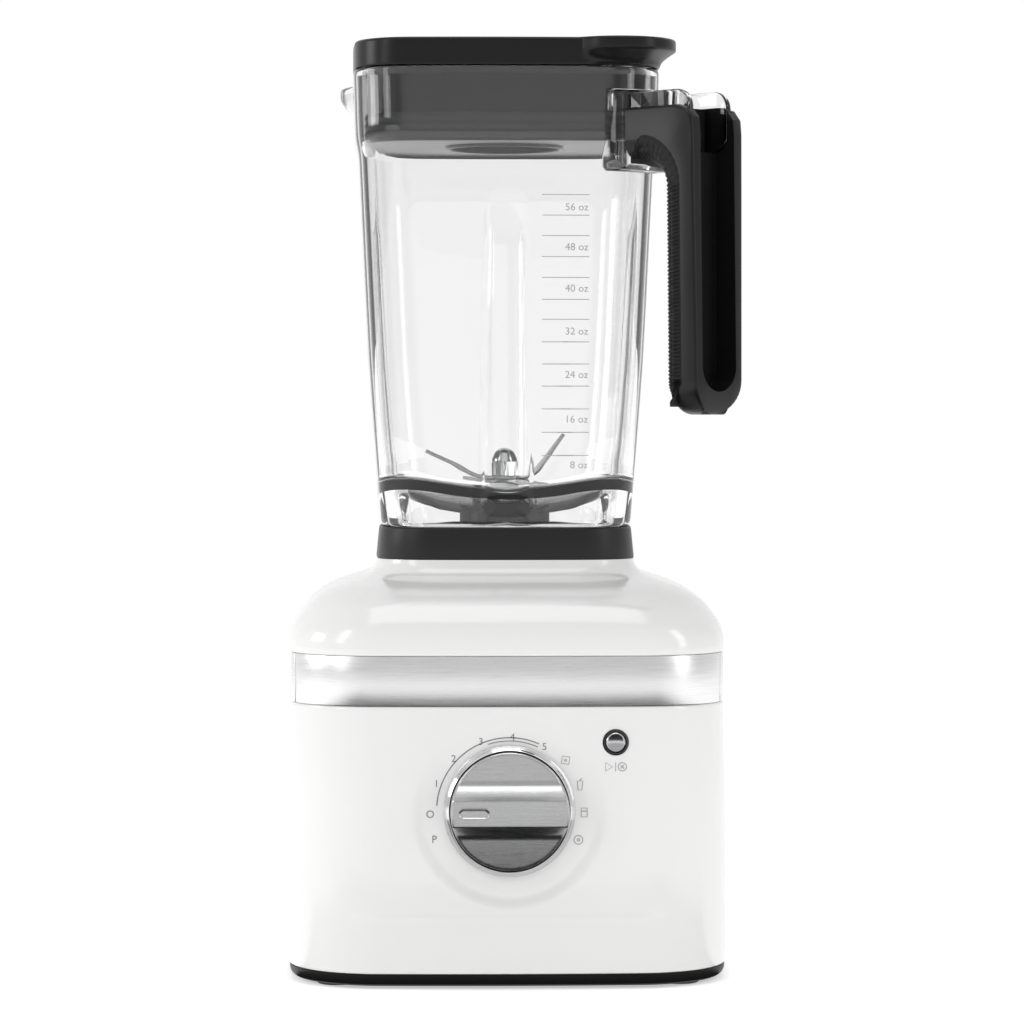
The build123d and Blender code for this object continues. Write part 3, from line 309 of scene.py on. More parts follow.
def moulded_grain_pattern():
    """Fine grain and slow waviness of moulded plastic: a height and a slight change of value."""
    group, start, end = new_pattern(
        "moulded_grain",
        [("Grain Size", "NodeSocketFloat", 900.0), ("Wave Size", "NodeSocketFloat", 14.0),
         ("Wave Share", "NodeSocketFloat", 0.35), ("Tone Low", "NodeSocketFloat", 0.94),
         ("Tone High", "NodeSocketFloat", 1.0)],
        [("Height", "NodeSocketFloat"), ("Tone", "NodeSocketFloat"), ("Wear", "NodeSocketFloat")])
    link = group.links.new
    place_node = add_node(group, "ShaderNodeTexCoord")
    grain = add_node(group, "ShaderNodeTexNoise")
    grain.inputs["Detail"].default_value = 3.0
    link(place_node.outputs["Object"], grain.inputs["Vector"])
    link(start.outputs["Grain Size"], grain.inputs["Scale"])
    wave = add_node(group, "ShaderNodeTexNoise")
    wave.inputs["Detail"].default_value = 2.0
    link(place_node.outputs["Object"], wave.inputs["Vector"])
    link(start.outputs["Wave Size"], wave.inputs["Scale"])
    blend = add_node(group, "ShaderNodeMix", data_type="FLOAT")
    link(start.outputs["Wave Share"], blend.inputs[0])
    link(grain.outputs[0], blend.inputs[2])
    link(wave.outputs[0], blend.inputs[3])
    link(blend.outputs[0], end.inputs["Height"])
    tone = add_node(group, "ShaderNodeMapRange")
    tone.inputs["From Min"].default_value = 0.3
    tone.inputs["From Max"].default_value = 0.7
    link(wave.outputs[0], tone.inputs["Value"])
    link(start.outputs["Tone Low"], tone.inputs["To Min"])
    link(start.outputs["Tone High"], tone.inputs["To Max"])
    link(tone.outputs[0], end.inputs["Tone"])
    link(wave.outputs[0], end.inputs["Wear"])
    return group


def brushed_lines_pattern():
    """Long fine brushing marks on metal: a height and a lighter and darker tone along the lines."""
    group, start, end = new_pattern(
        "brushed_lines",
        [("Stretch", "NodeSocketVector", (1.0, 1.0, 1.0)), ("Line Size", "NodeSocketFloat", 600.0)],
        [("Height", "NodeSocketFloat"), ("Tone", "NodeSocketFloat")])
    link = group.links.new
    place_node = add_node(group, "ShaderNodeTexCoord")
    stretch = add_node(group, "ShaderNodeVectorMath", operation="MULTIPLY")
    link(place_node.outputs["Object"], stretch.inputs[0])
    link(start.outputs["Stretch"], stretch.inputs[1])
    lines = add_node(group, "ShaderNodeTexNoise")
    lines.inputs["Detail"].default_value = 4.0
    lines.inputs["Roughness"].default_value = 0.7
    link(stretch.outputs[0], lines.inputs["Vector"])
    link(start.outputs["Line Size"], lines.inputs["Scale"])
    link(lines.outputs[0], end.inputs["Height"])
    tone = add_node(group, "ShaderNodeMapRange")
    tone.inputs["From Min"].default_value = 0.25
    tone.inputs["From Max"].default_value = 0.75
    tone.inputs["To Min"].default_value = 0.82
    tone.inputs["To Max"].default_value = 1.0
    link(lines.outputs[0], tone.inputs["Value"])
    link(tone.outputs[0], end.inputs["Tone"])
    return group


def turned_rings_pattern():
    """Concentric machining marks round the drive axis or a lathe-turned part."""
    group, start, end = new_pattern(
        "turned_rings",
        [("Centre", "NodeSocketVector", (0.0, 0.0, 0.0)), ("Across", "NodeSocketVector", (1.0, 1.0, 0.0)),
         ("Ring Size", "NodeSocketFloat", 1500.0)],
        [("Height", "NodeSocketFloat"), ("Tone", "NodeSocketFloat")])
    link = group.links.new
    place_node = add_node(group, "ShaderNodeTexCoord")
    shift = add_node(group, "ShaderNodeVectorMath", operation="SUBTRACT")
    link(place_node.outputs["Object"], shift.inputs[0])
    link(start.outputs["Centre"], shift.inputs[1])
    flat = add_node(group, "ShaderNodeVectorMath", operation="MULTIPLY")
    link(shift.outputs[0], flat.inputs[0])
    link(start.outputs["Across"], flat.inputs[1])
    radius = add_node(group, "ShaderNodeVectorMath", operation="LENGTH")
    link(flat.outputs[0], radius.inputs[0])
    rings = add_node(group, "ShaderNodeTexNoise", noise_dimensions="1D")
    rings.inputs["Detail"].default_value = 3.0
    link(radius.outputs["Value"], rings.inputs["W"])
    link(start.outputs["Ring Size"], rings.inputs["Scale"])
    link(rings.outputs[0], end.inputs["Height"])
    tone = add_node(group, "ShaderNodeMapRange")
    tone.inputs["From Min"].default_value = 0.3
    tone.inputs["From Max"].default_value = 0.7
    tone.inputs["To Min"].default_value = 0.85
    tone.inputs["To Max"].default_value = 1.0
    link(rings.outputs[0], tone.inputs["Value"])
    link(tone.outputs[0], end.inputs["Tone"])
    return group


moulded_grain = moulded_grain_pattern()
brushed_lines = brushed_lines_pattern()
turned_rings = turned_rings_pattern()


# ---------------------------------------------------------------- materials
def new_material(name, **constants):
    """Material with one Principled BSDF and its constant settings."""
    material = bpy.data.materials.new(name)
    material.use_nodes = True
    shader = material.node_tree.nodes["Principled BSDF"]
    for label, value in constants.items():
        shader.inputs[label.replace("_", " ")].default_value = value
    return material, material.node_tree, shader


def tint(tree, shader, colour, tone_socket):
    """Base colour times a pattern's tone."""
    mix = tree.nodes.new("ShaderNodeVectorMath")
    mix.operation = "SCALE"
    mix.inputs[0].default_value = colour
    tree.links.new(tone_socket, mix.inputs["Scale"])
    tree.links.new(mix.outputs[0], shader.inputs["Base Color"])


def relief(tree, shader, height_socket, strength, distance):
    """Bump from a pattern's height."""
    bump = tree.nodes.new("ShaderNodeBump")
    bump.inputs["Strength"].default_value = strength
    bump.inputs["Distance"].default_value = distance
    tree.links.new(height_socket, bump.inputs["Height"])
    tree.links.new(bump.outputs[0], shader.inputs["Normal"])


def roughness_range(tree, shader, value_socket, low_value, high_value):
    """Roughness that follows a pattern between two values."""
    spread = tree.nodes.new("ShaderNodeMapRange")
    spread.inputs["From Min"].default_value = 0.3
    spread.inputs["From Max"].default_value = 0.7
    spread.inputs["To Min"].default_value = low_value
    spread.inputs["To Max"].default_value = high_value
    tree.links.new(value_socket, spread.inputs["Value"])
    tree.links.new(spread.outputs[0], shader.inputs["Roughness"])


def plastic(name, colour, rough, grain, bump, wave=14.0, share=0.2, tones=(0.96, 1.0), **constants):
    """Moulded plastic or rubber with its grain."""
    material, tree, shader = new_material(name, **constants)
    pattern = tree.nodes.new("ShaderNodeGroup")
    pattern.node_tree = moulded_grain
    pattern.inputs["Grain Size"].default_value = grain
    pattern.inputs["Wave Size"].default_value = wave
    pattern.inputs["Wave Share"].default_value = share
    pattern.inputs["Tone Low"].default_value = tones[0]
    pattern.inputs["Tone High"].default_value = tones[1]
    tint(tree, shader, colour, pattern.outputs["Tone"])
    roughness_range(tree, shader, pattern.outputs["Wear"], rough[0], rough[1])
    relief(tree, shader, pattern.outputs["Height"], bump[0], bump[1])
    return material


def brushed(name, colour, rough, stretch, line_size, bump, **constants):
    """Metal with straight brushing marks."""
    material, tree, shader = new_material(name, Metallic=1.0, **constants)
    pattern = tree.nodes.new("ShaderNodeGroup")
    pattern.node_tree = brushed_lines
    pattern.inputs["Stretch"].default_value = stretch
    pattern.inputs["Line Size"].default_value = line_size
    tint(tree, shader, colour, pattern.outputs["Tone"])
    roughness_range(tree, shader, pattern.outputs["Height"], rough[0], rough[1])
    relief(tree, shader, pattern.outputs["Height"], bump, 0.0001)
    return material


def turned(name, colour, rough, centre, across, ring_size, bump, metallic=1.0, **constants):
    """Metal with lathe or grinding rings."""
    material, tree, shader = new_material(name, Metallic=metallic, **constants)
    pattern = tree.nodes.new("ShaderNodeGroup")
    pattern.node_tree = turned_rings
    pattern.inputs["Centre"].default_value = centre
    pattern.inputs["Across"].default_value = across
    pattern.inputs["Ring Size"].default_value = ring_size
    tint(tree, shader, colour, pattern.outputs["Tone"])
    roughness_range(tree, shader, pattern.outputs["Height"], rough[0], rough[1])
    relief(tree, shader, pattern.outputs["Height"], bump, 0.0001)
    return material


enamel_white = plastic("enamel_white", (0.83, 0.83, 0.825), (0.16, 0.22), 700.0, (0.03, 0.0002),
                       wave=9.0, share=0.6, tones=(0.985, 1.0), Coat_Weight=0.4, Coat_Roughness=0.05)
satin_black = plastic("satin_black", (0.007, 0.007, 0.0072), (0.26, 0.34), 2400.0, (0.10, 0.0001),
                      tones=(0.88, 1.0),
                      Specular_IOR_Level=0.26)
pad_black = plastic("pad_black", (0.010, 0.010, 0.0103), (0.34, 0.44), 1800.0, (0.12, 0.0001),
                    tones=(0.86, 1.0),
                    Specular_IOR_Level=0.35)
foot_black = plastic("foot_black", (0.009, 0.009, 0.0093), (0.38, 0.48), 1500.0, (0.12, 0.0001),
                     tones=(0.86, 1.0),
                     Specular_IOR_Level=0.35)
gloss_black = plastic("gloss_black", (0.006, 0.006, 0.0065), (0.08, 0.12), 900.0, (0.03, 0.0001),
                      tones=(0.9, 1.0))
rubber_black = plastic("rubber_black", (0.009, 0.009, 0.0093), (0.45, 0.58), 3200.0, (0.15, 0.0001),
                       tones=(0.82, 1.0),
                       Specular_IOR_Level=0.3)
seal_rubber = plastic("seal_rubber", (0.028, 0.028, 0.03), (0.45, 0.6), 2600.0, (0.2, 0.0001),
                      tones=(0.8, 1.0))
moulded_grey = plastic("moulded_grey", (0.20, 0.205, 0.21), (0.42, 0.55), 1600.0, (0.2, 0.0001),
                       tones=(0.85, 1.0))
carbon_block = plastic("carbon_block", (0.03, 0.03, 0.032), (0.5, 0.65), 4200.0, (0.3, 0.0001),
                       tones=(0.7, 1.0))
circuit_green = plastic("circuit_green", (0.02, 0.13, 0.055), (0.28, 0.4), 1200.0, (0.1, 0.0001),
                        tones=(0.8, 1.0))
dial_ink = plastic("dial_ink", (0.22, 0.22, 0.225), (0.4, 0.5), 2600.0, (0.05, 0.00005), tones=(0.92, 1.0))
icon_ink = plastic("icon_ink", (0.36, 0.36, 0.365), (0.4, 0.5), 2600.0, (0.05, 0.00005), tones=(0.92, 1.0))
jar_ink = plastic("jar_ink", (0.42, 0.42, 0.425), (0.4, 0.5), 2600.0, (0.05, 0.00005), tones=(0.92, 1.0))

brushed_band = brushed("brushed_band", (0.93, 0.93, 0.93), (0.26, 0.36), (0.02, 0.02, 1.0), 2600.0, 0.10,
                       Anisotropic=0.4)
brushed_dial = brushed("brushed_dial", (0.60, 0.60, 0.605), (0.24, 0.34), (0.03, 1.0, 1.0), 2200.0, 0.12,
                       Anisotropic=0.3)
blade_metal = brushed("blade_metal", (0.36, 0.362, 0.37), (0.18, 0.28), (1.0, 0.06, 0.06), 1800.0, 0.12)
cast_metal = plastic("cast_metal", (0.52, 0.525, 0.53), (0.42, 0.6), 900.0, (0.35, 0.0002),
                     tones=(0.8, 1.0), Metallic=1.0)
zinc_plate = plastic("zinc_plate", (0.60, 0.605, 0.60), (0.28, 0.42), 1400.0, (0.15, 0.0001),
                     tones=(0.82, 1.0), Metallic=1.0)
chrome = turned("chrome", (0.80, 0.80, 0.81), (0.04, 0.09), (0.0, 0.0, dial_z * MM), (1.0, 0.0, 1.0), 1800.0,
                0.02)
button_metal = turned("button_metal", (0.62, 0.62, 0.63), (0.16, 0.26), (button_x * MM, 0.0, button_z * MM),
                      (1.0, 0.0, 1.0), 2600.0, 0.08)
turned_steel = turned("turned_steel", (0.62, 0.625, 0.63), (0.16, 0.28), (0.0, 0.0, 0.0), (1.0, 1.0, 0.0),
                      2200.0, 0.1)
hub_steel = turned("hub_steel", (0.50, 0.505, 0.51), (0.2, 0.32), (0.0, 0.0, 0.0), (1.0, 1.0, 0.0), 2600.0,
                   0.1)


def laminated_steel_material():
    """Stack of thin steel sheets, seen edge-on as fine level lines."""
    material, tree, shader = new_material("laminated_steel", Metallic=1.0)
    place_node = tree.nodes.new("ShaderNodeTexCoord")
    sheets = tree.nodes.new("ShaderNodeTexWave")
    sheets.wave_type = "BANDS"
    sheets.bands_direction = "Z"
    sheets.inputs["Scale"].default_value = 320.0
    sheets.inputs["Distortion"].default_value = 0.4
    tree.links.new(place_node.outputs["Object"], sheets.inputs["Vector"])
    ramp = tree.nodes.new("ShaderNodeValToRGB")
    ramp.color_ramp.elements[0].color = (0.16, 0.165, 0.17, 1)
    ramp.color_ramp.elements[1].color = (0.42, 0.425, 0.43, 1)
    tree.links.new(sheets.outputs["Fac"], ramp.inputs["Fac"])
    tree.links.new(ramp.outputs["Color"], shader.inputs["Base Color"])
    shader.inputs["Roughness"].default_value = 0.45
    relief(tree, shader, sheets.outputs["Fac"], 0.25, 0.0002)
    return material


def copper_wire_material():
    """Varnished copper wire laid side by side."""
    material, tree, shader = new_material("copper_wire", Metallic=1.0, Coat_Weight=0.5)
    place_node = tree.nodes.new("ShaderNodeTexCoord")
    turns = tree.nodes.new("ShaderNodeTexWave")
    turns.wave_type = "BANDS"
    turns.bands_direction = "DIAGONAL"
    turns.inputs["Scale"].default_value = 260.0
    turns.inputs["Distortion"].default_value = 1.2
    turns.inputs["Detail"].default_value = 1.0
    tree.links.new(place_node.outputs["Object"], turns.inputs["Vector"])
    ramp = tree.nodes.new("ShaderNodeValToRGB")
    ramp.color_ramp.elements[0].color = (0.20, 0.06, 0.02, 1)
    ramp.color_ramp.elements[1].color = (0.72, 0.30, 0.13, 1)
    tree.links.new(turns.outputs["Fac"], ramp.inputs["Fac"])
    tree.links.new(ramp.outputs["Color"], shader.inputs["Base Color"])
    shader.inputs["Roughness"].default_value = 0.3
    relief(tree, shader, turns.outputs["Fac"], 0.5, 0.0003)
    return material


def clear_plastic_material():
    """Clear moulded plastic, with the faint waviness of the mould."""
    material, tree, shader = new_material("clear_plastic", Transmission_Weight=1.0, IOR=1.50)
    shader.inputs["Base Color"].default_value = (0.985, 0.985, 0.985, 1)
    pattern = tree.nodes.new("ShaderNodeGroup")
    pattern.node_tree = moulded_grain
    pattern.inputs["Grain Size"].default_value = 120.0
    pattern.inputs["Wave Size"].default_value = 22.0
    pattern.inputs["Wave Share"].default_value = 0.85
    roughness_range(tree, shader, pattern.outputs["Wear"], 0.0, 0.02)
    relief(tree, shader, pattern.outputs["Height"], 0.02, 0.0005)
    return material


laminated_steel = laminated_steel_material()
copper_wire = copper_wire_material()
clear_plastic = clear_plastic_material()

MATERIAL_OF_NODE = {
    "base_plate": foot_black, "rubber_feet": seal_rubber, "base_screws": zinc_plate,
    "lower_housing": enamel_white,
    "rear_grille": moulded_grey, "cord_gland": rubber_black, "band_front": brushed_band,
    "band_rear": brushed_band, "upper_housing": enamel_white, "jar_pad": pad_black, "dial_bezel": chrome,
    "encoder_body": moulded_grey, "control_board": circuit_green, "button_bezel": gloss_black,
    "button_spring": turned_steel, "button_switch": moulded_grey, "power_board": circuit_green,
    "motor_stator": laminated_steel, "field_coils": copper_wire, "motor_bottom_bracket": cast_metal,
    "motor_top_bracket": cast_metal, "lower_bearing": turned_steel, "upper_bearing": turned_steel,
    "brush_holders": moulded_grey, "carbon_brushes": carbon_block, "motor_dampers": seal_rubber,
    "motor_screws": zinc_plate, "air_baffle": moulded_grey, "motor_shaft": turned_steel,
    "armature_core": laminated_steel, "armature_windings": copper_wire, "commutator": copper_wire,
    "cooling_fan": satin_black, "drive_coupler": rubber_black, "dial_knob": brushed_dial,
    "dial_shaft": turned_steel, "start_button": button_metal, "jar_body": clear_plastic,
    "jar_floor": clear_plastic,
    "handle_grip": satin_black, "handle_ribs": rubber_black, "handle_screw": zinc_plate,
    "blade_bearing_housing": hub_steel, "blade_bushes": turned_steel, "blade_seal": seal_rubber,
    "retaining_ring": satin_black, "driven_coupler": cast_metal, "blade_shaft": turned_steel,
    "blade_spacer": turned_steel, "lower_blade": blade_metal, "upper_blade": blade_metal,
    "blade_nut": turned_steel, "lid_shell": satin_black, "lid_plug": satin_black,
    "lid_gasket": seal_rubber, "ingredient_cup": satin_black, "cup_seal": seal_rubber,
}

for node_name, node_material in MATERIAL_OF_NODE.items():
    cad_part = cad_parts[node_name]
    if cad_part.data.materials:
        for slot_index in range(len(cad_part.data.materials)):
            cad_part.data.materials[slot_index] = node_material
    else:
        cad_part.data.materials.append(node_material)


# ---------------------------------------------------------------- base housing
def base_reach(angles, inset):
    """Outline of the base, drawn in by an inset."""
    return bowed_square(angles, base_half_x - inset, base_half_y - inset, BASE_BOW, BASE_CORNER - inset)


DISH_FLAT = 37.4
DISH_EDGE = 42.4
CREASE_Z = 32.0


def shape_front(ring):
    """Press the round dial dish and the low crease into the front wall of a ring."""
    x, y, z = ring[:, 0], ring[:, 1], ring[:, 2]
    front = y < -60
    side_fade = 1 - smooth_step(np.abs(x), 48, 74)
    near_dish = 1 - 0.6 * (1 - smooth_step(np.abs(x), 10, 40))
    ledge = 0.75 * (1 - smooth_step(z, CREASE_Z - 0.9, CREASE_Z + 0.9)) * smooth_step(z, 12, 27)
    y = np.where(front, y - ledge * side_fade * near_dish, y)
    radius = np.hypot(x, z - dial_z)
    press = smooth_step(radius, DISH_EDGE + 0.6, DISH_FLAT - 0.2)
    y = np.where(front, y * (1 - press) + panel_y * press, y)
    return np.column_stack([x, y, z])


def make_lower_housing():
    angles = face_angles(base_half_x, 47.0, 1.0, 3.2)
    levels = [(foot_top, 1.9), (foot_top + 0.25, 1.25), (foot_top + 0.7, 0.75), (foot_top + 1.5, 0.5),
              (foot_top + 4, 0.3), (15.0, 0.1)]
    levels += [(z, 0.0) for z in np.arange(18.0, 27.0, 3.0)]
    fine = np.arange(28.0, band_low - 1.4, 1.0)
    levels += [(z, 1.5 * max(0.0, (z - 42.0) / (band_low - 42.0)) ** 1.5) for z in fine]
    levels += [(band_low - 0.9, 1.5), (band_low - 0.45, 1.65), (band_low - 0.15, 2.0), (band_low - 0.05, 2.5)]
    rings = [shape_front(level_ring(angles, base_reach(angles, inset), z)) for z, inset in levels]
    for z, inset in ((band_low - 0.05, 4.3), (100.0, 4.2), (42.0, 2.8), (15.0, 2.8), (foot_top, 3.3)):
        rings.append(level_ring(angles, base_reach(angles, inset), z))
    shell = skin("lower_housing_shell", rings, loop=True)
    dial_hole = lathe("dial_hole", [(0.01, panel_y - 5), (5.2, panel_y - 5), (5.2, panel_y + 8),
                                    (0.01, panel_y + 8)],
                      48, (0, 0, dial_z), "Y")
    combine(shell, dial_hole, "DIFFERENCE")
    button_hole = lathe("button_hole", [(0.01, -120), (5.75, -120), (5.75, -85), (0.01, -85)],
                        48, (button_x, 0, button_z), "Y")
    combine(shell, button_hole, "DIFFERENCE")
    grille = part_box("rear_grille")
    window = box_piece("window", (grille[0].x / MM - 0.25, 80, grille[0].z / MM - 0.25),
                       (grille[1].x / MM + 0.25, 110, grille[1].z / MM + 0.25))
    combine(shell, window, "DIFFERENCE")
    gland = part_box("cord_gland")
    gland_x = (gland[0].x + gland[1].x) / 2 / MM
    gland_z = (gland[0].z + gland[1].z) / 2 / MM
    hole = lathe("gland_hole", [(0.01, 85), (7.3, 85), (7.3, 110), (0.01, 110)], 64, (gland_x, 0, gland_z),
                 "Y")
    combine(shell, hole, "DIFFERENCE")
    place(shell, "base", "white_housing", enamel_white, "lower_housing")


def make_bands():
    """Brushed band in two pieces, with a fine seam each side near the front corners."""
    seam_y = (high("band_front").y + low("band_rear").y) / 2
    full = np.linspace(0, 2 * math.pi, 2400, endpoint=False)
    reach_y = base_reach(full, 1.5) * np.sin(full)
    right_seam = full[(full > 1.5 * math.pi) & (reach_y > seam_y + 0.15)][0]
    right_front = full[(full > 1.5 * math.pi) & (reach_y < seam_y - 0.15)][-1]
    spans = {"band_front": (3 * math.pi - right_front, right_front),
             "band_rear": (right_seam - 2 * math.pi, 3 * math.pi - right_seam)}
    bottom, top = band_low, band_high
    profile = [(bottom, 2.4), (bottom, 1.85), (bottom + 0.12, 1.6), (bottom + 0.4, 1.5), (top - 0.4, 1.5),
               (top - 0.12, 1.6), (top, 1.85), (top, 2.4)]
    for node, (start, end) in spans.items():
        count = 220 if node == "band_front" else 420
        angles = np.linspace(start, end, count)
        rings = [level_ring(angles, base_reach(angles, inset), z) for z, inset in profile]
        band = skin(node + "_strip", rings, wrap=False, loop=True)
        built = bmesh.new()
        built.from_mesh(band.data)
        bmesh.ops.holes_fill(built, edges=[e for e in built.edges if e.is_boundary], sides=20)
        bmesh.ops.recalc_face_normals(built, faces=built.faces)
        built.to_mesh(band.data)
        built.free()
        place(band, "base", "brushed_band", brushed_band, node)


def dome_reach(angles, half, inset=0.0):
    """Outline between the base and the neck, for a half width."""
    share = (half - NECK_HALF) / (base_half_x - NECK_HALF)
    deeper = (base_half_y - base_half_x) * share
    bow = 3.0 + (BASE_BOW - 3.0) * share
    corner = NECK_CORNER + (BASE_CORNER - NECK_CORNER) * share
    return bowed_square(angles, half - inset, half + deeper - inset, bow, corner - inset)


def make_upper_housing():
    measured = [(97.9, 147.9), (97.5, 152.1), (96.0, 156.5), (93.4, 160.6), (89.7, 165.3), (84.8, 169.2),
                (78.5, 172.5), (73.2, 174.4), (68.8, 175.8), (65.0, 177.0), (62.1, 178.4), (60.4, 180.0),
                (59.2, 182.0), (58.5, neck_top)]
    bottom = band_high + 0.1
    profile = [(97.2, bottom), (97.6, bottom + 0.1), (97.85, bottom + 0.4)]
    profile += [tuple(p) for p in spline([(97.9, bottom + 1.2)] + measured, 4)]
    angles = face_angles(base_half_x, 10.0, 4.0, 4.0)
    rings = [level_ring(angles, dome_reach(angles, half), z) for half, z in profile]
    inner = [(58.5, neck_top, 4.2), (59.0, 178.0, 3.0), (70.0, 173.0, 3.0), (85.0, 166.0, 3.2),
             (93.4, 158.0, 3.2),
             (97.9, 146.0, 3.2), (97.9, bottom, 3.2)]
    rings += [level_ring(angles, dome_reach(angles, half, inset), z) for half, z, inset in inner]
    dome = skin("upper_housing_dome", rings, loop=True)
    place(dome, "base", "white_housing", enamel_white, "upper_housing")
    inner_deck = [(neck_top - 2.8, 56.0), (neck_top - 0.05, 56.0), (neck_top - 0.05, 19.2),
                  (neck_top - 2.8, 19.2)]
    circle = np.ones(len(angles))
    rings = []
    for z, half in inner_deck:
        reach = bowed_square(angles, half, half, 3.0, 24.0) if half > 40 else circle * half
        rings.append(level_ring(angles, reach, z))
    deck = skin("upper_housing_deck", rings, loop=True)
    place(deck, "base", "white_housing", enamel_white, "upper_housing")
    skirt = [(bottom + 1.4, 3.1), (bottom + 1.4, 6.0), (band_low - 7.5, 7.0), (band_low - 7.5, 5.2),
             (band_low + 0.4, 5.1), (band_low + 0.4, 3.1)]
    rings = [level_ring(angles, base_reach(angles, inset), z) for z, inset in skirt]
    collar = skin("upper_housing_skirt", rings, loop=True)
    place(collar, "base", "white_housing", enamel_white, "upper_housing")


def make_foot_pan():
    angles = face_angles(base_half_x, 10.0, 4.0, 4.0)
    floor_z = low("base_plate").z
    levels = [(foot_top + 5.5, 3.6), (foot_top, 3.5), (foot_top - 0.02, 1.0), (foot_top - 1.0, 1.0)]
    for step in range(1, 8):
        turn = step / 7 * math.pi / 2
        levels.append((foot_top - 1.0 - 4.5 * math.sin(turn), 1.0 + 4.5 * (1 - math.cos(turn))))
    levels += [(floor_z, 20.0), (floor_z, 50.0)]
    rings = [level_ring(angles, base_reach(angles, inset), z) for z, inset in levels]
    for z, inset in ((foot_top, 50.0), (foot_top, 8.0), (foot_top + 5.5, 5.6)):
        rings.append(level_ring(angles, base_reach(angles, inset), z))
    pan = skin("base_plate_pan", rings, loop=True)
    place(pan, "base", "black_satin", foot_black)


def make_rubber_feet():
    """Turned rubber feet with a dished, ringed underside."""
    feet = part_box("rubber_feet")
    reach_x = feet[1].x / MM - 9.0
    reach_y = feet[1].y / MM - 9.0
    top = high("rubber_feet").z
    profile = [(0.01, 0.8), (5.2, 0.8), (5.8, 0.1), (6.2, 0.0), (8.2, 0.0), (8.8, 0.3), (9.0, 0.9),
               (9.0, top),
               (0.01, top)]
    for index, (sx, sy) in enumerate(((-1, -1), (1, -1), (-1, 1), (1, 1))):
        foot = lathe(f"rubber_foot_{index + 1}", profile, 64, (sx * reach_x, sy * reach_y, 0))
        place(foot, "base", "soft_rubber", seal_rubber, "rubber_feet")


def make_jar_pad():
    angles = face_angles(NECK_HALF, 10.0, 2.5, 2.5)
    floor_z = jar_low - 0.05
    outside = NECK_HALF + 0.2
    levels = [(neck_top + 0.02, outside - 0.5), (neck_top + 0.25, outside - 0.1), (neck_top + 0.7, outside)]
    levels.append((pad_top - 1.6, outside - 1.2))
    for step in range(1, 7):
        turn = step / 6 * math.pi / 2
        levels.append((pad_top - 1.4 + 1.4 * math.sin(turn), outside - 1.25 - 1.4 * (1 - math.cos(turn))))
    pocket = outside - 1.2 - 3.6
    levels += [(pad_top, pocket + 0.6), (pad_top - 0.6, pocket), (floor_z + 0.5, pocket),
               (floor_z, pocket - 0.5),
               (floor_z, pocket - 5)]
    rings = []
    for z, half in levels:
        corner = NECK_CORNER - (outside - half)
        rings.append(level_ring(angles, bowed_square(angles, half, half, 3.0, corner), z))
    circle = np.ones(len(angles))
    rings.append(level_ring(angles, circle * 24.0, floor_z))
    rings.append(level_ring(angles, circle * 24.0, neck_top + 0.02))
    pad = skin("jar_pad_moulding", rings, loop=True)
    place(pad, "base", "black_satin", pad_black, "jar_pad")


# ---------------------------------------------------------------- dial and start button
def make_dial_knob():
    """Round knob with a grip bar across, scooped above and below it."""
    radius = (high("dial_knob").z - low("dial_knob").z) / 2
    back = high("dial_knob").y
    bar = 5.8
    web = 9.6
    rows = np.unique(np.concatenate([
        np.linspace(-radius + 0.02, radius - 0.02, 70), np.linspace(-bar - 1.2, -bar + 1.2, 17),
        np.linspace(bar - 1.2, bar + 1.2, 17), np.linspace(-1.9, 1.9, 15),
        radius - np.geomspace(0.05, 2.0, 8), -radius + np.geomspace(0.05, 2.0, 8)]))
    across = np.unique(np.concatenate([np.linspace(-1, 1, 90), 1 - np.geomspace(0.0008, 0.06, 10),
                                       -1 + np.geomspace(0.0008, 0.06, 10), np.linspace(-0.92, -0.33, 50)]))

    def depth(x, z):
        above = np.abs(z) - bar
        run = np.where(z > 0, 7.6, 6.0)
        t = np.clip(above / run, 0, 1)
        scoop = web * np.sin(t * math.pi / 2) ** 0.85 * (above > 0)
        tilt = 0.045 * np.clip(above - run, 0, 50)
        edge = np.clip(0.5 - np.abs(above), 0, 0.5) * 0.3
        rim = radius - np.hypot(x, z)
        rounding = np.where(rim < 1.3, 1.3 - np.sqrt(np.maximum(1.3 ** 2 - (1.3 - rim) ** 2, 0)), 0)
        slot_reach = np.hypot(np.clip(np.abs(x + radius - 10.2) - 4.6, 0, None), z) - 1.7
        slot = 0.55 * (1 - smooth_step(slot_reach, -0.35, 0.35))
        return scoop + tilt * (above > 0) + edge + rounding + slot

    grid = []
    for z in rows:
        chord = math.sqrt(max(radius ** 2 - z ** 2, 0.0004))
        x = across * chord
        y = knob_front + depth(x, np.full_like(x, z))
        grid.append(np.column_stack([x, np.minimum(y, back - 0.3), np.full_like(x, z + dial_z)]))
    count = len(across)
    vertices = np.vstack(grid)
    faces = []
    for i in range(len(rows) - 1):
        for j in range(count - 1):
            a = i * count + j
            faces.append((a, a + 1, a + count + 1, a + count))
    outline = [j for j in range(count)] + [i * count + count - 1 for i in range(1, len(rows))]
    outline += [(len(rows) - 1) * count + j for j in range(count - 2, -1, -1)]
    outline += [i * count for i in range(len(rows) - 2, 0, -1)]
    start = len(vertices)
    back_rim = vertices[outline].copy()
    back_rim[:, 1] = back
    vertices = np.vstack([vertices, back_rim])
    total = len(outline)
    for k in range(total):
        n = (k + 1) % total
        faces.append((outline[k], outline[n], start + n, start + k))
    faces.append(tuple(start + k for k in range(total)))
    knob = make_object("dial_knob_face", vertices, faces, 30)
    bore = lathe("knob_bore", [(0.01, -108), (3.1, -108), (3.1, back + 3), (0.01, back + 3)], 40,
                 (0, 0, dial_z), "Y")
    combine(knob, bore, "DIFFERENCE")
    place(knob, "dial", "brushed_knob", brushed_dial, "dial_knob")


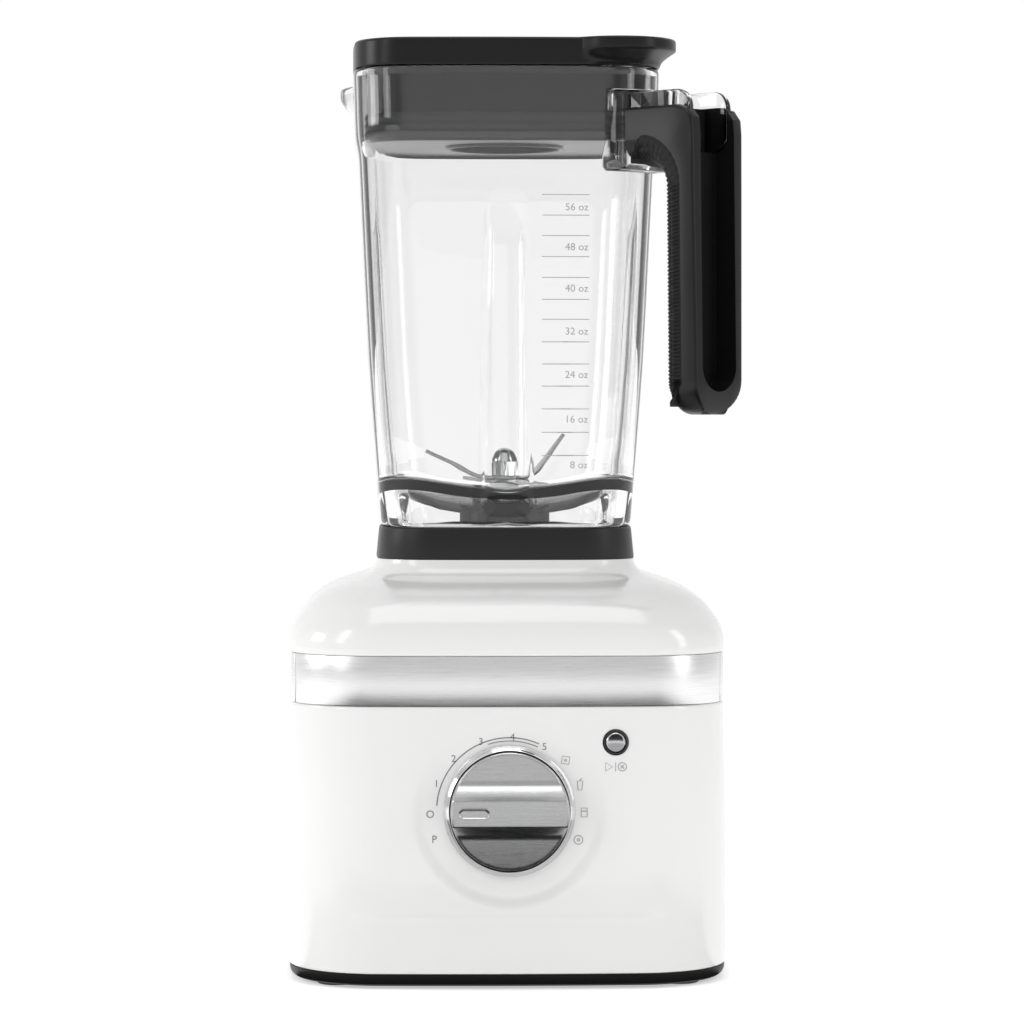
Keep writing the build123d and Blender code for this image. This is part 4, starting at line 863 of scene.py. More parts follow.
def make_dial_bezel():
    inner = 26.2
    outer = high("dial_bezel").z - dial_z
    front = low("dial_bezel").y
    profile = [(inner, panel_y), (inner, front + 0.3), (inner + 0.15, front), (inner + 0.3, front),
               (outer - 0.15, front + 2.1), (outer, front + 2.4), (outer, panel_y)]
    bezel = lathe("dial_bezel_ring", profile, 192, (0, 0, dial_z), "Y")
    place(bezel, "base", "chrome_trim", chrome, "dial_bezel")
    # Painted shade: a thin black disc on the panel behind the knob. It shows only in the narrow gap between
    # knob and bezel, where it stands in for the shade inside that gap.
    gap = [(3.41, panel_y - 0.02), (inner, panel_y - 0.02), (inner, panel_y - 0.35), (3.41, panel_y - 0.35)]
    disc = lathe("dial_gap_shade_disc", gap, 96, (0, 0, dial_z), "Y")
    place(disc, "base", "black_gloss", gloss_black)


def make_start_button():
    radius = 4.25
    back = high("start_button").y
    profile = [(0.01, back), (radius - 0.4, back), (radius - 0.3, button_front + 1.2),
               (radius, button_front + 0.9),
               (radius, button_front + 0.35), (radius - 0.35, button_front),
               (radius - 0.8, button_front + 0.02)]
    for step in range(1, 8):
        share = step / 7
        profile.append(((radius - 0.8) * (1 - share) + 0.01,
                        button_front + 0.05 + 0.75 * (1 - (1 - share) ** 2)))
    cap = lathe("start_button_cap", profile, 96, (button_x, 0, button_z), "Y")
    place(cap, "button", "brushed_knob", button_metal, "start_button")
    inner = radius + 0.15
    outer = high("button_bezel").z - button_z
    front = low("button_bezel").y
    ring_back = high("button_bezel").y
    ring = [(inner, ring_back), (inner, front + 0.3), (inner + 0.3, front), (inner + 0.8, front - 0.0),
            (outer - 0.3, front + 0.2), (outer, front + 0.6), (outer, ring_back)]
    bezel = lathe("button_bezel_ring", ring, 96, (button_x, 0, button_z), "Y")
    place(bezel, "base", "black_gloss", gloss_black, "button_bezel")


# ---------------------------------------------------------------- jar
def jar_half(z):
    """Half width of the jar's wall at a height."""
    heights = [199.2, 202.0, 220.0, 238.0, 256.0, 274.0, 301.0, 328.0, 355.0, 364.0, 368.0, 372.0, 379.0,
               400.0,
               jar_rim]
    halves = [56.8, 57.35, 58.7, 60.1, 61.5, 62.8, 64.2, 65.5, 66.8, 67.25, 67.8, 68.6, 69.0, 69.55, 69.6]
    return np.interp(z, heights, halves)


FLUTE_LOW = 213.0
FLUTE_HIGH = 350.0


def flute_depth(angles, reach, z):
    """How far the four finger flutes press into the middle of each wall."""
    face = np.round(angles / (math.pi / 2)) * math.pi / 2
    sideways = reach * np.sin(angles - face)
    share = np.clip((z - FLUTE_LOW) / (FLUTE_HIGH - FLUTE_LOW), 0, 1)
    half = 11.2 - 2.7 * share
    depth = 4.6 - 1.6 * share
    arch = np.clip((FLUTE_HIGH - z) / half, 0, 1)
    half = half * math.sqrt(max(1 - (1 - arch) ** 2, 1e-6))
    top_fade = float(smooth_step(z, FLUTE_HIGH, FLUTE_HIGH - 22))
    depth = depth * top_fade * float(smooth_step(z, FLUTE_LOW - 9, FLUTE_LOW))
    profile = np.clip(1 - (sideways / max(half, 0.5)) ** 2, 0, 1) ** 0.9
    return depth * profile if FLUTE_LOW - 9 < z < FLUTE_HIGH else np.zeros_like(angles)


def spout_push(angles, z):
    """Outward push of the pouring lip on the rear left corner."""
    off = np.abs((angles - math.radians(138) + math.pi) % (2 * math.pi) - math.pi)
    rise = float(smooth_step(z, jar_rim - 20, jar_rim - 4))
    return 15.0 * np.exp(-(off / 0.17) ** 2) * rise


def jar_ring(angles, half, z, inset=0.0, flutes=True):
    reach = bowed_square(angles, half - inset, half - inset, JAR_BOW, JAR_CORNER - inset)
    if flutes:
        reach = reach - flute_depth(angles, reach, z)
    reach = reach + spout_push(angles, z)
    return level_ring(angles, reach, z)


def corner_frame(u, v, z):
    """Point in the handle's upright plane: u outward along the diagonal, v across it."""
    diagonal = math.sqrt(0.5)
    return np.column_stack([diagonal * (np.asarray(u) + np.asarray(v)),
                            diagonal * (np.asarray(v) - np.asarray(u)), np.asarray(z) + 0 * np.asarray(u)])


def side_prism(name, outline, v_low, v_high):
    """Solid with a side view outline of (u, z) points between two distances across the handle."""
    outline = np.array(outline, float)
    rings = [corner_frame(outline[:, 0], np.full(len(outline), v), outline[:, 1]) for v in (v_low, v_high)]
    return skin(name, rings, caps=True)


def rounded_outline(corners, steps=8):
    """Polygon from (u, z, radius) corners with rounded ones."""
    points = []
    total = len(corners)
    for index, (u, z, radius) in enumerate(corners):
        here = np.array([u, z], float)
        if radius <= 0:
            points.append(here)
            continue
        before = np.array(corners[index - 1][:2], float) - here
        after = np.array(corners[(index + 1) % total][:2], float) - here
        before /= np.linalg.norm(before)
        after /= np.linalg.norm(after)
        half_angle = math.acos(np.clip(before @ after, -1, 1)) / 2
        reach = radius / math.tan(half_angle)
        start = here + before * reach
        end = here + after * reach
        middle = here + (before + after) / np.linalg.norm(before + after) * radius / math.sin(half_angle)
        first = math.atan2(*(start - middle)[::-1])
        turn = math.atan2(*(end - middle)[::-1]) - first
        turn = (turn + math.pi) % (2 * math.pi) - math.pi
        for step in range(steps + 1):
            a = first + turn * step / steps
            points.append(middle + radius * np.array([math.cos(a), math.sin(a)]))
    return points


ARM_TOP = high("handle_grip").z
GRIP_LOW = low("handle_grip").z
ARM_LOW = ARM_TOP - 25.0
BRACKET_TOP = ARM_TOP + 7.0


def make_jar_body():
    angles = face_angles(JAR_CORNER + 40, 15.0, 0.9, 2.2)
    foot_half = NECK_HALF + 0.2 - 1.2 - 3.6 - 0.5
    foot_corner = NECK_CORNER - 3.6 - 0.5

    def foot_ring(half, z):
        reach = bowed_square(angles, half, half, JAR_BOW, foot_corner - foot_half + half)
        return level_ring(angles, reach, z)

    rings = [foot_ring(foot_half - 2.4, jar_low), foot_ring(foot_half - 0.6, jar_low),
             foot_ring(foot_half, jar_low + 0.6), foot_ring(foot_half, 198.6),
             foot_ring(foot_half + 0.5, 199.25)]
    rings += [jar_ring(angles, 56.0, 199.25), jar_ring(angles, 56.7, 199.7), jar_ring(angles, 57.2, 201.0)]
    heights = list(np.arange(203.0, 216.0, 1.6)) + list(np.arange(218.0, 325.0, 8.0))
    heights += list(np.arange(326.0, 351.0, 1.0)) + list(np.arange(353.0, 384.0, 2.0))
    heights += list(np.arange(385.0, jar_rim - 1.0, 1.8))
    rings += [jar_ring(angles, jar_half(z), z) for z in heights]
    for step in range(9):
        turn = step / 8 * math.pi
        z = jar_rim - 1.5 + 1.5 * math.sin(turn)
        inset = 1.5 * (1 - math.cos(turn))
        rings.append(jar_ring(angles, jar_half(z), z, inset))
    wall_foot = 230.0
    floor_thickness = 3.5
    inner_heights = [z for z in heights if z >= wall_foot]
    rings += [jar_ring(angles, jar_half(z), z, JAR_WALL) for z in reversed(inner_heights)]
    hub_top = 207.7
    hub_reach = 24.0

    def bowl(reach):
        return hub_top + 18.0 * np.clip((reach - hub_reach) / 54.0, 0, 1.2) ** 1.35

    for share in (0.25, 0.5, 0.72, 0.88, 0.97):
        wall = jar_ring(angles, jar_half(226.0 - 8 * share), 226.0, JAR_WALL)
        reach = np.hypot(wall[:, 0], wall[:, 1])
        rings.append(level_ring(angles, reach, wall_foot * (1 - share) + (bowl(reach) + 1.2) * share))
    wall = jar_ring(angles, jar_half(217.0), 217.0, JAR_WALL)
    wall_reach = np.hypot(wall[:, 0], wall[:, 1])
    for inward, lift in ((0.15, 0.8), (0.7, 0.25), (1.6, 0.0)):
        rings.append(level_ring(angles, wall_reach - inward, bowl(wall_reach - inward) + lift))
    for share in (0.1, 0.2, 0.32, 0.45, 0.6, 0.78, 1.0):
        reach = (wall_reach - 1.6) * (1 - share) + hub_reach * share
        rings.append(level_ring(angles, reach, bowl(reach)))
    circle = np.ones(len(angles))
    bore = 12.6
    hub_under = 204.2
    hub_profile = [(20.0, hub_top), (bore, hub_top), (bore, hub_under), (hub_reach, hub_under)]
    rings += [level_ring(angles, circle * r, z) for r, z in hub_profile]
    for share in (0.75, 0.5, 0.3, 0.14, 0.03):
        reach = (wall_reach - 2.5) * (1 - share) + hub_reach * share
        rings.append(level_ring(angles, reach, bowl(reach) - floor_thickness))
    rings.append(foot_ring(foot_half - 3.0, 203.0))
    rings.append(foot_ring(foot_half - 3.0, jar_low + 0.6))
    jar = skin("jar_moulding", rings, loop=True, sharp_degrees=40)
    inner_u = 89.7
    boss = side_prism("boss", rounded_outline([(72.0, ARM_LOW - 2, 0), (inner_u, ARM_LOW - 2, 2.5),
                                               (inner_u, BRACKET_TOP + 1.5, 2.5),
                                               (72.0, BRACKET_TOP + 1.5, 0)]),
                      -16.5, 16.5)
    round_edges(boss, 2.2)
    hollow = side_prism("boss_hollow", [(60.0, ARM_LOW - 9), (76.5, ARM_LOW - 9), (77.5, BRACKET_TOP + 9),
                                        (60.0, BRACKET_TOP + 9)], -30, 30)
    combine(boss, hollow, "DIFFERENCE")
    cheeks = side_prism("cheeks", rounded_outline([(82.0, ARM_LOW + 5.5, 0), (124.6, ARM_LOW + 5.5, 7.0),
                                                   (124.6, BRACKET_TOP, 8.0), (82.0, BRACKET_TOP, 0)], 10),
                        -14, 14)
    gap = side_prism("gap", [(93.0, ARM_LOW - 4), (140.0, ARM_LOW - 4), (140.0, BRACKET_TOP + 9),
                             (93.0, BRACKET_TOP + 9)], -11, 11)
    combine(cheeks, gap, "DIFFERENCE")
    round_edges(cheeks, 0.7)
    combine(boss, cheeks, "UNION")
    combine(jar, boss, "UNION")
    jar.data.set_sharp_from_angle(angle=math.radians(40))
    place(jar, "jar", "clear_jar", clear_plastic, "jar_body", "jar_floor")


# ---------------------------------------------------------------- handle
INNER_U = 108.6
CORNER_U = 99.0
CORNER_Z = ARM_LOW - 10.0
ARCH_DEPTH = 8.4
GRIP_ROUND = 15.0


def handle_stations(count_arm, count_turn, count_grip):
    """Stations along the inside of the handle: foot point, outward direction, reach and half width."""
    stations = []
    corner_radius = INNER_U - CORNER_U
    for u in np.linspace(90.0, CORNER_U, count_arm, endpoint=False):
        stations.append(((u, ARM_LOW), (0.0, 1.0)))
    for turn in np.linspace(math.pi / 2, 0, count_turn, endpoint=False):
        direction = (math.cos(turn), math.sin(turn))
        stations.append(((CORNER_U + corner_radius * direction[0],
                          CORNER_Z + (ARM_LOW - CORNER_Z) * direction[1]), direction))
    straight = list(np.linspace(CORNER_Z, GRIP_LOW + GRIP_ROUND, count_grip))
    toe = [GRIP_LOW + GRIP_ROUND * (1 - math.sin(t)) for t in np.linspace(0, math.pi / 2, 12)[1:]]
    for z in straight + toe:
        stations.append(((INNER_U, z), (1.0, 0.0)))
    return stations


def outer_u(z):
    """Outer face of the grip, with its rounded top and bottom corners."""
    share = np.clip((ARM_TOP - z) / (ARM_TOP - GRIP_LOW), 0, 1)
    face = 128.3 + 1.7 * share
    if z > ARM_TOP - 9.0:
        face -= 9.0 - math.sqrt(max(81.0 - (z - ARM_TOP + 9.0) ** 2, 0))
    if z < GRIP_LOW + GRIP_ROUND:
        face -= 5.0 * (1 - math.sqrt(max(1 - ((GRIP_LOW + GRIP_ROUND - z) / GRIP_ROUND) ** 2, 0)))
    return face


def reach_of(point, direction):
    """Distance from the inside of the handle to its outer boundary."""
    low_reach, high_reach = 2.0, 60.0
    for _ in range(40):
        middle = (low_reach + high_reach) / 2
        u = point[0] + direction[0] * middle
        z = point[1] + direction[1] * middle
        inside = z <= ARM_TOP and z >= GRIP_LOW and u <= outer_u(min(max(z, GRIP_LOW), ARM_TOP))
        if inside:
            low_reach = middle
        else:
            high_reach = middle
    return low_reach


def half_width(z):
    share = np.clip((z - GRIP_LOW) / (ARM_TOP - GRIP_LOW), 0, 1)
    half = (31.0 + 4.0 * share) / 2
    if z < GRIP_LOW + GRIP_ROUND:
        half -= GRIP_ROUND * (1 - math.sqrt(max(1 - ((GRIP_LOW + GRIP_ROUND - z) / GRIP_ROUND) ** 2, 0)))
    return half


def make_handle_grip():
    """Grip with an arched inside, a deep channel down its back and slots for the jar's bracket."""
    rings = []
    for point, direction in handle_stations(6, 12, 44):
        reach = reach_of(point, direction)
        z_mid = point[1] + direction[1] * reach / 2
        half = half_width(z_mid)
        pull = 0.0
        if direction[0] > 0.99 and point[1] < GRIP_LOW + 8.0:
            drop = (GRIP_LOW + 8.0 - point[1]) / 8.0
            pull = 5.0 * (1 - math.sqrt(max(1 - drop ** 2, 0)))
        section = []
        for step in range(25):
            turn = math.pi * (step / 24 - 0.5)
            v = (half - 0.4) * math.sin(turn)
            n = ARCH_DEPTH * (1 - max(math.cos(turn), 0.0) ** 0.9) + pull * max(math.cos(turn), 0) + 0.3
            section.append((n, v))
        section += [(ARCH_DEPTH + 1.6, half - 0.05), (ARCH_DEPTH + 2.6, half)]
        section += [(reach - 1.5, half), (reach - 0.7, half - 0.2), (reach - 0.2, half - 0.7),
                    (reach, half - 1.5)]
        section += [(reach, 8.0), (reach, 0.0), (reach, -8.0)]
        section += [(reach, 1.5 - half), (reach - 0.2, 0.7 - half), (reach - 0.7, 0.2 - half),
                    (reach - 1.5, -half)]
        section += [(ARCH_DEPTH + 2.6, -half), (ARCH_DEPTH + 1.6, 0.05 - half)]
        n = np.array([p[0] for p in section])
        v = np.array([p[1] for p in section])
        rings.append(corner_frame(point[0] + direction[0] * n, v, point[1] + direction[1] * n))
    grip = skin("handle_grip_moulding", rings, caps=True, sharp_degrees=40)
    channel_low = GRIP_LOW + 10.0
    outline = [(-11.2, ARM_TOP + 20)]
    outline += [(-11.2 * math.cos(t), channel_low + 11.2 - 11.2 * math.sin(t))
                for t in np.linspace(0, math.pi, 25)]
    outline += [(11.2, ARM_TOP + 20)]
    v = np.array([p[0] for p in outline])
    z = np.array([p[1] for p in outline])
    channel = skin("channel", [corner_frame(np.full(len(v), u), v, z) for u in (118.0, 150.0)], caps=True)
    combine(grip, channel, "DIFFERENCE")
    slots = side_prism("slots", rounded_outline([(84.0, ARM_LOW + 5.2, 0), (125.0, ARM_LOW + 5.2, 7.0),
                                                 (125.0, ARM_TOP + 20, 0), (84.0, ARM_TOP + 20, 0)]), -14.35,
                       14.35)
    core = side_prism("core", [(86.0, ARM_LOW + 2), (112.0, ARM_LOW + 2), (112.0, ARM_TOP - 0.4),
                               (93.4, ARM_TOP - 0.4), (93.4, ARM_LOW + 2)][1:], -10.7, 10.7)
    combine(slots, core, "DIFFERENCE")
    combine(grip, slots, "DIFFERENCE")
    round_edges(grip, 1.2, 3, 50)
    place(grip, "jar", "black_satin", satin_black, "handle_grip")


def make_handle_ribs():
    """Ribbed rubber that wraps the inside of the grip."""
    per_rib = 6
    under_arm = CORNER_U - 93.5
    straight = CORNER_Z - GRIP_LOW - GRIP_ROUND
    toe_turn = math.radians(52)
    path_length = under_arm + 15.4 + straight + GRIP_ROUND * toe_turn
    ribs = int(path_length / 1.68)
    samples = ribs * per_rib
    front = []
    for index in range(samples + 1):
        along = path_length * index / samples
        if along < CORNER_U - 93.5:
            point, direction = (93.5 + along, ARM_LOW), (0.0, 1.0)
        elif along < CORNER_U - 93.5 + 15.4:
            turn = math.pi / 2 * (1 - (along - CORNER_U + 93.5) / 15.4)
            direction = (math.cos(turn), math.sin(turn))
            point = (CORNER_U + (INNER_U - CORNER_U) * direction[0],
                     CORNER_Z + (ARM_LOW - CORNER_Z) * direction[1])
        elif along < under_arm + 15.4 + straight:
            point, direction = (INNER_U, CORNER_Z - (along - under_arm - 15.4)), (1.0, 0.0)
        else:
            turn = (along - under_arm - 15.4 - straight) / GRIP_ROUND
            direction = (math.cos(turn), math.sin(turn))
            point = (INNER_U + GRIP_ROUND * (1 - direction[0]), GRIP_LOW + GRIP_ROUND * (1 - direction[1]))
        wave = 0.5 - 0.5 * math.cos(2 * math.pi * (index % per_rib) / per_rib)
        end = min(along, path_length - along)
        cover = math.sqrt(max(1 - (1 - min(end / 7.0, 1)) ** 2, 0.002))
        front.append((point, direction, wave ** 0.7, cover))
    rings = []
    for point, direction, wave, cover in front:
        half = half_width(point[1] + direction[1] * 10) - 0.4
        top, bottom = [], []
        for step in range(29):
            turn = math.pi * (step / 28 - 0.5) * 0.93 * cover
            v = half * math.sin(turn)
            n = ARCH_DEPTH * (1 - max(math.cos(turn), 0.0) ** 0.9) + 0.3
            side = 1 - smooth_step(abs(step / 28 - 0.5) * 2, 0.9, 1.0)
            lift = (0.35 + 0.85 * wave) * (0.15 + 0.85 * side)
            outward = np.array([-math.cos(turn), math.sin(turn)])
            top.append((n + outward[0] * lift, v + outward[1] * lift * 0.6))
            bottom.append((n + 0.7, v * 0.97))
        flank = 5.2 * cover
        for sign in (-1, 1):
            edge = top[0] if sign < 0 else top[-1]
            base = bottom[0] if sign < 0 else bottom[-1]
            lift = 0.3 + 0.75 * wave
            strip = [(edge[0] + flank * share, sign * (half + 0.4 + (lift if share < 0.9 else -0.1)))
                     for share in (0.15, 0.5, 0.85, 1.0)]
            under = [(base[0] + flank * share, sign * (half - 0.6)) for share in (0.15, 0.5, 0.85, 1.0)]
            if sign < 0:
                top = strip[::-1] + top
                bottom = under[::-1] + bottom
            else:
                top += strip
                bottom += under
        outline = top + bottom[::-1]
        n = np.array([p[0] for p in outline])
        v = np.array([p[1] for p in outline])
        rings.append(corner_frame(point[0] + direction[0] * n, v, point[1] + direction[1] * n))
    pad = skin("handle_rib_pad", rings, caps=True, sharp_degrees=60)
    place(pad, "jar", "soft_rubber", rubber_black, "handle_ribs")


# ---------------------------------------------------------------- lid and cup
LID_HALF = 69.3


def lid_reach(angles, half, corner, tab):
    """Lid outline with a share of the finger tab on the right front corner."""
    base = bowed_square(angles, half, half, 3.0, corner)
    if tab <= 0:
        return base
    corner_reach = float(bowed_square(np.array([-math.pi / 4]), half, half, 3.0, corner)[0])
    radius = 25.0
    centre = corner_reach + 10.6 * tab - radius
    direction = math.sqrt(0.5)
    cos_a, sin_a = np.cos(angles), np.sin(angles)
    along = cos_a * centre * direction - sin_a * centre * direction
    inside = np.maximum(along ** 2 - centre ** 2 + radius ** 2, 0)
    reach = np.where((along > 0) & (along ** 2 - centre ** 2 + radius ** 2 > 0), along + np.sqrt(inside), 0)
    soft = 3.2
    gap = np.clip(0.5 + 0.5 * (reach - base) / soft, 0, 1)
    return base * (1 - gap) + reach * gap + soft * gap * (1 - gap)


def make_lid_shell():
    angles = np.sort(np.concatenate([np.linspace(-math.pi, math.pi, 320, endpoint=False),
                                     np.linspace(-1.35, -0.22, 160)]))
    angles = angles[np.concatenate([[True], np.diff(angles) > 1e-4])]
    plate = lid_high - 3.0
    levels = [(lid_low, 0.5, 0.0), (lid_low + 0.15, 0.12, 0.0), (lid_low + 0.5, 0.0, 0.0)]
    scoop_top = lid_high - 5.4
    for step in range(1, 13):
        share = step / 12
        levels.append((lid_low + 0.5 + (scoop_top - lid_low - 0.5) * share, 0.0, share ** 1.6 * 0.95))
    levels += [(scoop_top + 0.5, 0.0, 0.99), (scoop_top + 1.2, 0.0, 1.0), (lid_high - 1.5, 0.0, 1.0)]
    for step in range(1, 8):
        turn = step / 7 * math.pi / 2
        levels.append((lid_high - 1.5 + 1.5 * math.sin(turn), 1.5 * (1 - math.cos(turn)), 1.0))
    rings = [level_ring(angles, lid_reach(angles, LID_HALF, 25.0, tab) - inset, z)
             for z, inset, tab in levels]
    inner_rim = [(lid_high, 4.4), (lid_high - 0.5, 5.0), (plate + 0.6, 6.2), (plate, 7.4),
                 (plate + 0.25, 20.0)]
    rings += [level_ring(angles, bowed_square(angles, LID_HALF - i, LID_HALF - i, 3.0, max(25.0 - i, 8.0)), z)
              for z, i in inner_rim]
    circle = np.ones(len(angles))
    rings += [level_ring(angles, circle * r, z) for r, z in ((34.0, plate + 0.4), (28.6, plate + 0.4),
                                                            (27.5, plate + 0.2), (27.45, plate - 2.6))]
    rings += [level_ring(angles, bowed_square(angles, LID_HALF - i, LID_HALF - i, 3.0, 20.0), z)
              for z, i in ((plate - 2.6, 12.0), (plate - 2.6, 3.4), (lid_low, 3.2))]
    shell = skin("lid_shell_moulding", rings, loop=True, sharp_degrees=40)
    place(shell, "lid", "black_satin", satin_black, "lid_shell")


def make_lid_plug():
    angles = face_angles(LID_HALF, 10.0, 3.0, 3.0)
    bottom = low("lid_gasket").z - 1.4
    top = lid_high - 5.7
    groove_low = low("lid_gasket").z - 0.05
    groove_high = high("lid_gasket").z + 0.05
    floor_z = bottom + 1.3
    outer = [(bottom, 2.4), (bottom, 1.2), (bottom + 0.3, 0.6), (bottom + 0.8, 0.3), (groove_low, 0.0),
             (groove_low, 1.2), (groove_high, 1.2), (groove_high, 0.0), (top, 0.0), (top, 3.2),
             (floor_z + 2.4, 3.4), (floor_z + 2.4, 6.0)]
    rings = []
    for z, inset in outer:
        half = min(jar_half(min(z, 371.0)), 67.9) - JAR_WALL - 0.8 - inset
        reach = bowed_square(angles, half, half, JAR_BOW, JAR_CORNER - 4.0 - inset)
        rings.append(level_ring(angles, reach, z))
    circle = np.ones(len(angles))
    for radius, z in ((27.6, floor_z + 2.4), (27.2, floor_z + 3.0), (27.2, top), (25.1, top),
                      (25.1, floor_z - 0.9),
                      (25.6, floor_z - 1.4), (26.6, floor_z - 1.4), (27.2, floor_z - 0.9), (27.4, floor_z)):
        rings.append(level_ring(angles, circle * radius, z))
    for z, inset in ((floor_z, 6.0), (floor_z - 0.1, 3.6), (bottom + 0.4, 2.7)):
        half = min(jar_half(min(z, 371.0)), 67.9) - JAR_WALL - 0.8 - inset
        reach = bowed_square(angles, half, half, JAR_BOW, JAR_CORNER - 4.0 - inset)
        rings.append(level_ring(angles, reach, z))
    plug = skin("lid_plug_moulding", rings, loop=True, sharp_degrees=40)
    place(plug, "lid", "black_satin", satin_black, "lid_plug")


def make_lid_gasket():
    """Rubber gasket with three soft lips."""
    angles = face_angles(LID_HALF, 10.0, 3.0, 3.0)
    bottom = low("lid_gasket").z
    top = high("lid_gasket").z
    rings = []
    steps = 36
    for step in range(steps + 1):
        z = bottom + (top - bottom) * step / steps
        lip = (0.5 - 0.5 * math.cos(2 * math.pi * 3 * step / steps)) ** 0.8
        half = jar_half(min(z, 371.0)) - JAR_WALL - 0.75 + 0.45 * lip
        rings.append(level_ring(angles, bowed_square(angles, half, half, JAR_BOW, JAR_CORNER - 3.8), z))
    for z in (top, bottom):
        half = jar_half(min(z, 371.0)) - JAR_WALL - 0.8 - 1.15
        rings.append(level_ring(angles, bowed_square(angles, half, half, JAR_BOW, JAR_CORNER - 5.0), z))
    gasket = skin("lid_gasket_lips", rings, loop=True, sharp_degrees=50)
    place(gasket, "lid", "seal_rubber", seal_rubber, "lid_gasket")


def make_ingredient_cup():
    bottom = low("lid_gasket").z + 3.0
    flange = 27.0
    under = high("lid_shell").z - 2.45
    profile = [(22.0, bottom + 0.3), (22.4, bottom), (23.3, bottom), (23.8, bottom + 0.5), (23.8, under),
               (flange - 0.6, under), (flange, under + 0.5), (flange, cup_high - 1.2),
               (flange - 0.3, cup_high - 0.5),
               (flange - 1.0, cup_high - 0.1), (flange - 2.0, cup_high), (16.0, cup_high - 0.35),
               (8.0, cup_high - 0.5), (0.01, cup_high - 0.55), (0.01, under - 0.5), (21.0, under - 0.5),
               (22.0, under - 1.5)]
    cup = lathe("ingredient_cup_moulding", profile, 128)
    place(cup, "cup", "black_satin", satin_black, "ingredient_cup")


# ---------------------------------------------------------------- blades and hub
def blade_wing(name, points, widths, thickness=1.6):
    """Swept strip of blade steel with one ground cutting edge."""
    path = spline(points, 8)
    spread = np.interp(np.linspace(0, 1, len(path)), np.linspace(0, 1, len(widths)), widths)
    rings = []
    for index, centre in enumerate(path):
        before = path[max(index - 1, 0)]
        after = path[min(index + 1, len(path) - 1)]
        along = after - before
        along /= np.linalg.norm(along)
        side = np.cross((0, 0, 1), along)
        side /= max(np.linalg.norm(side), 1e-6)
        normal = np.cross(along, side)
        half = spread[index] / 2
        t = thickness / 2
        grind = min(3.2, half * 0.9)
        outline = [(-half, -0.12), (-half, 0.12), (-half + grind, t), (half - 0.25, t), (half, t - 0.25),
                   (half, -t + 0.25), (half - 0.25, -t), (-half + grind * 0.35, -t)]
        rings.append(np.array([centre + side * a + normal * b for a, b in outline]))
    return skin(name, rings, caps=True, sharp_degrees=25)


def make_blades():
    turn = math.radians(-61)
    cos_t, sin_t = math.cos(turn), math.sin(turn)
    low_mid = low("blade_nut").z - 3.3 + 0.8
    high_mid = low_mid + 1.65
    wings = {
        "upper_blade_left": ("upper_blade", [(-5.0, 0, high_mid), (-9.0, 0, high_mid),
                                             (-14, -0.3, high_mid + 0.8),
                                             (-24, -1.0, high_mid + 5.2), (-36.4, -1.6, high_mid + 10.4)],
                             [15.0, 15.0, 14.0, 11.0, 5.0]),
        "upper_blade_right": ("upper_blade", [(5.0, 0, high_mid), (9.0, 0, high_mid),
                                              (13.0, 0.3, high_mid + 1.2),
                                              (19, 0.8, high_mid + 7.0), (27.4, 1.4, high_mid + 18.6)],
                              [15.0, 15.0, 14.0, 11.5, 5.5]),
        "lower_blade_front": ("lower_blade", [(5.0, 0, low_mid), (9.0, 0, low_mid), (14.0, 0, low_mid - 0.4),
                                              (33.4, 1.0, low_mid - 3.5)], [15.0, 15.0, 13.5, 6.0]),
        "lower_blade_back": ("lower_blade", [(-5.0, 0, low_mid), (-9.0, 0, low_mid),
                                             (-14.0, 0, low_mid + 0.2),
                                             (-32.4, -1.0, low_mid + 1.0)], [15.0, 15.0, 13.5, 6.0]),
    }
    for name, (node, points, widths) in wings.items():
        points = np.array(points, float)
        if node == "lower_blade":
            points = np.column_stack([points[:, 0] * cos_t - points[:, 1] * sin_t,
                                      points[:, 0] * sin_t + points[:, 1] * cos_t, points[:, 2]])
        wing = blade_wing(name, points, widths)
        place(wing, "blades", "blade_steel", blade_metal, node)
    for node, middle in (("lower_blade", low_mid), ("upper_blade", high_mid)):
        washer = lathe(node + "_root", [(4.1, middle - 0.8), (8.4, middle - 0.8), (8.6, middle - 0.6),
                                        (8.6, middle + 0.6), (8.4, middle + 0.8), (4.1, middle + 0.8)], 64)
        place(washer, "blades", "blade_steel", blade_metal, node)


def make_blade_nut():
    """Hexagonal nut with a washer face and a domed cap."""
    bottom = low("blade_nut").z
    turn = np.linspace(0, 2 * math.pi, 96, endpoint=False)
    hexagon = 6.6 * math.cos(math.pi / 6) / np.cos((turn + math.pi / 6) % (math.pi / 3) - math.pi / 6)
    rings = []
    for share, z in ((0.0, bottom), (1.0, bottom + 0.05), (1.0, bottom + 4.6), (0.5, bottom + 5.4)):
        reach = np.minimum(hexagon, 6.0 + 0.6 * share)
        rings.append(level_ring(turn, reach, z))
    rings.append(level_ring(turn, np.full(96, 5.6), bottom + 5.6))
    rings.append(level_ring(turn, np.full(96, 5.5), bottom + 6.6))
    for step in range(1, 9):
        a = step / 8 * math.pi / 2
        rings.append(level_ring(turn, np.full(96, 5.0 * math.cos(a) + 0.01),
                                bottom + 6.8 + 4.6 * math.sin(a)))
    rings.append(level_ring(turn, np.full(96, 0.01), bottom + 1.0))
    rings.append(level_ring(turn, np.full(96, 4.05), bottom))
    nut = skin("blade_nut_cap", rings, loop=True, sharp_degrees=30)
    place(nut, "blades", "bearing_steel", turned_steel, "blade_nut")


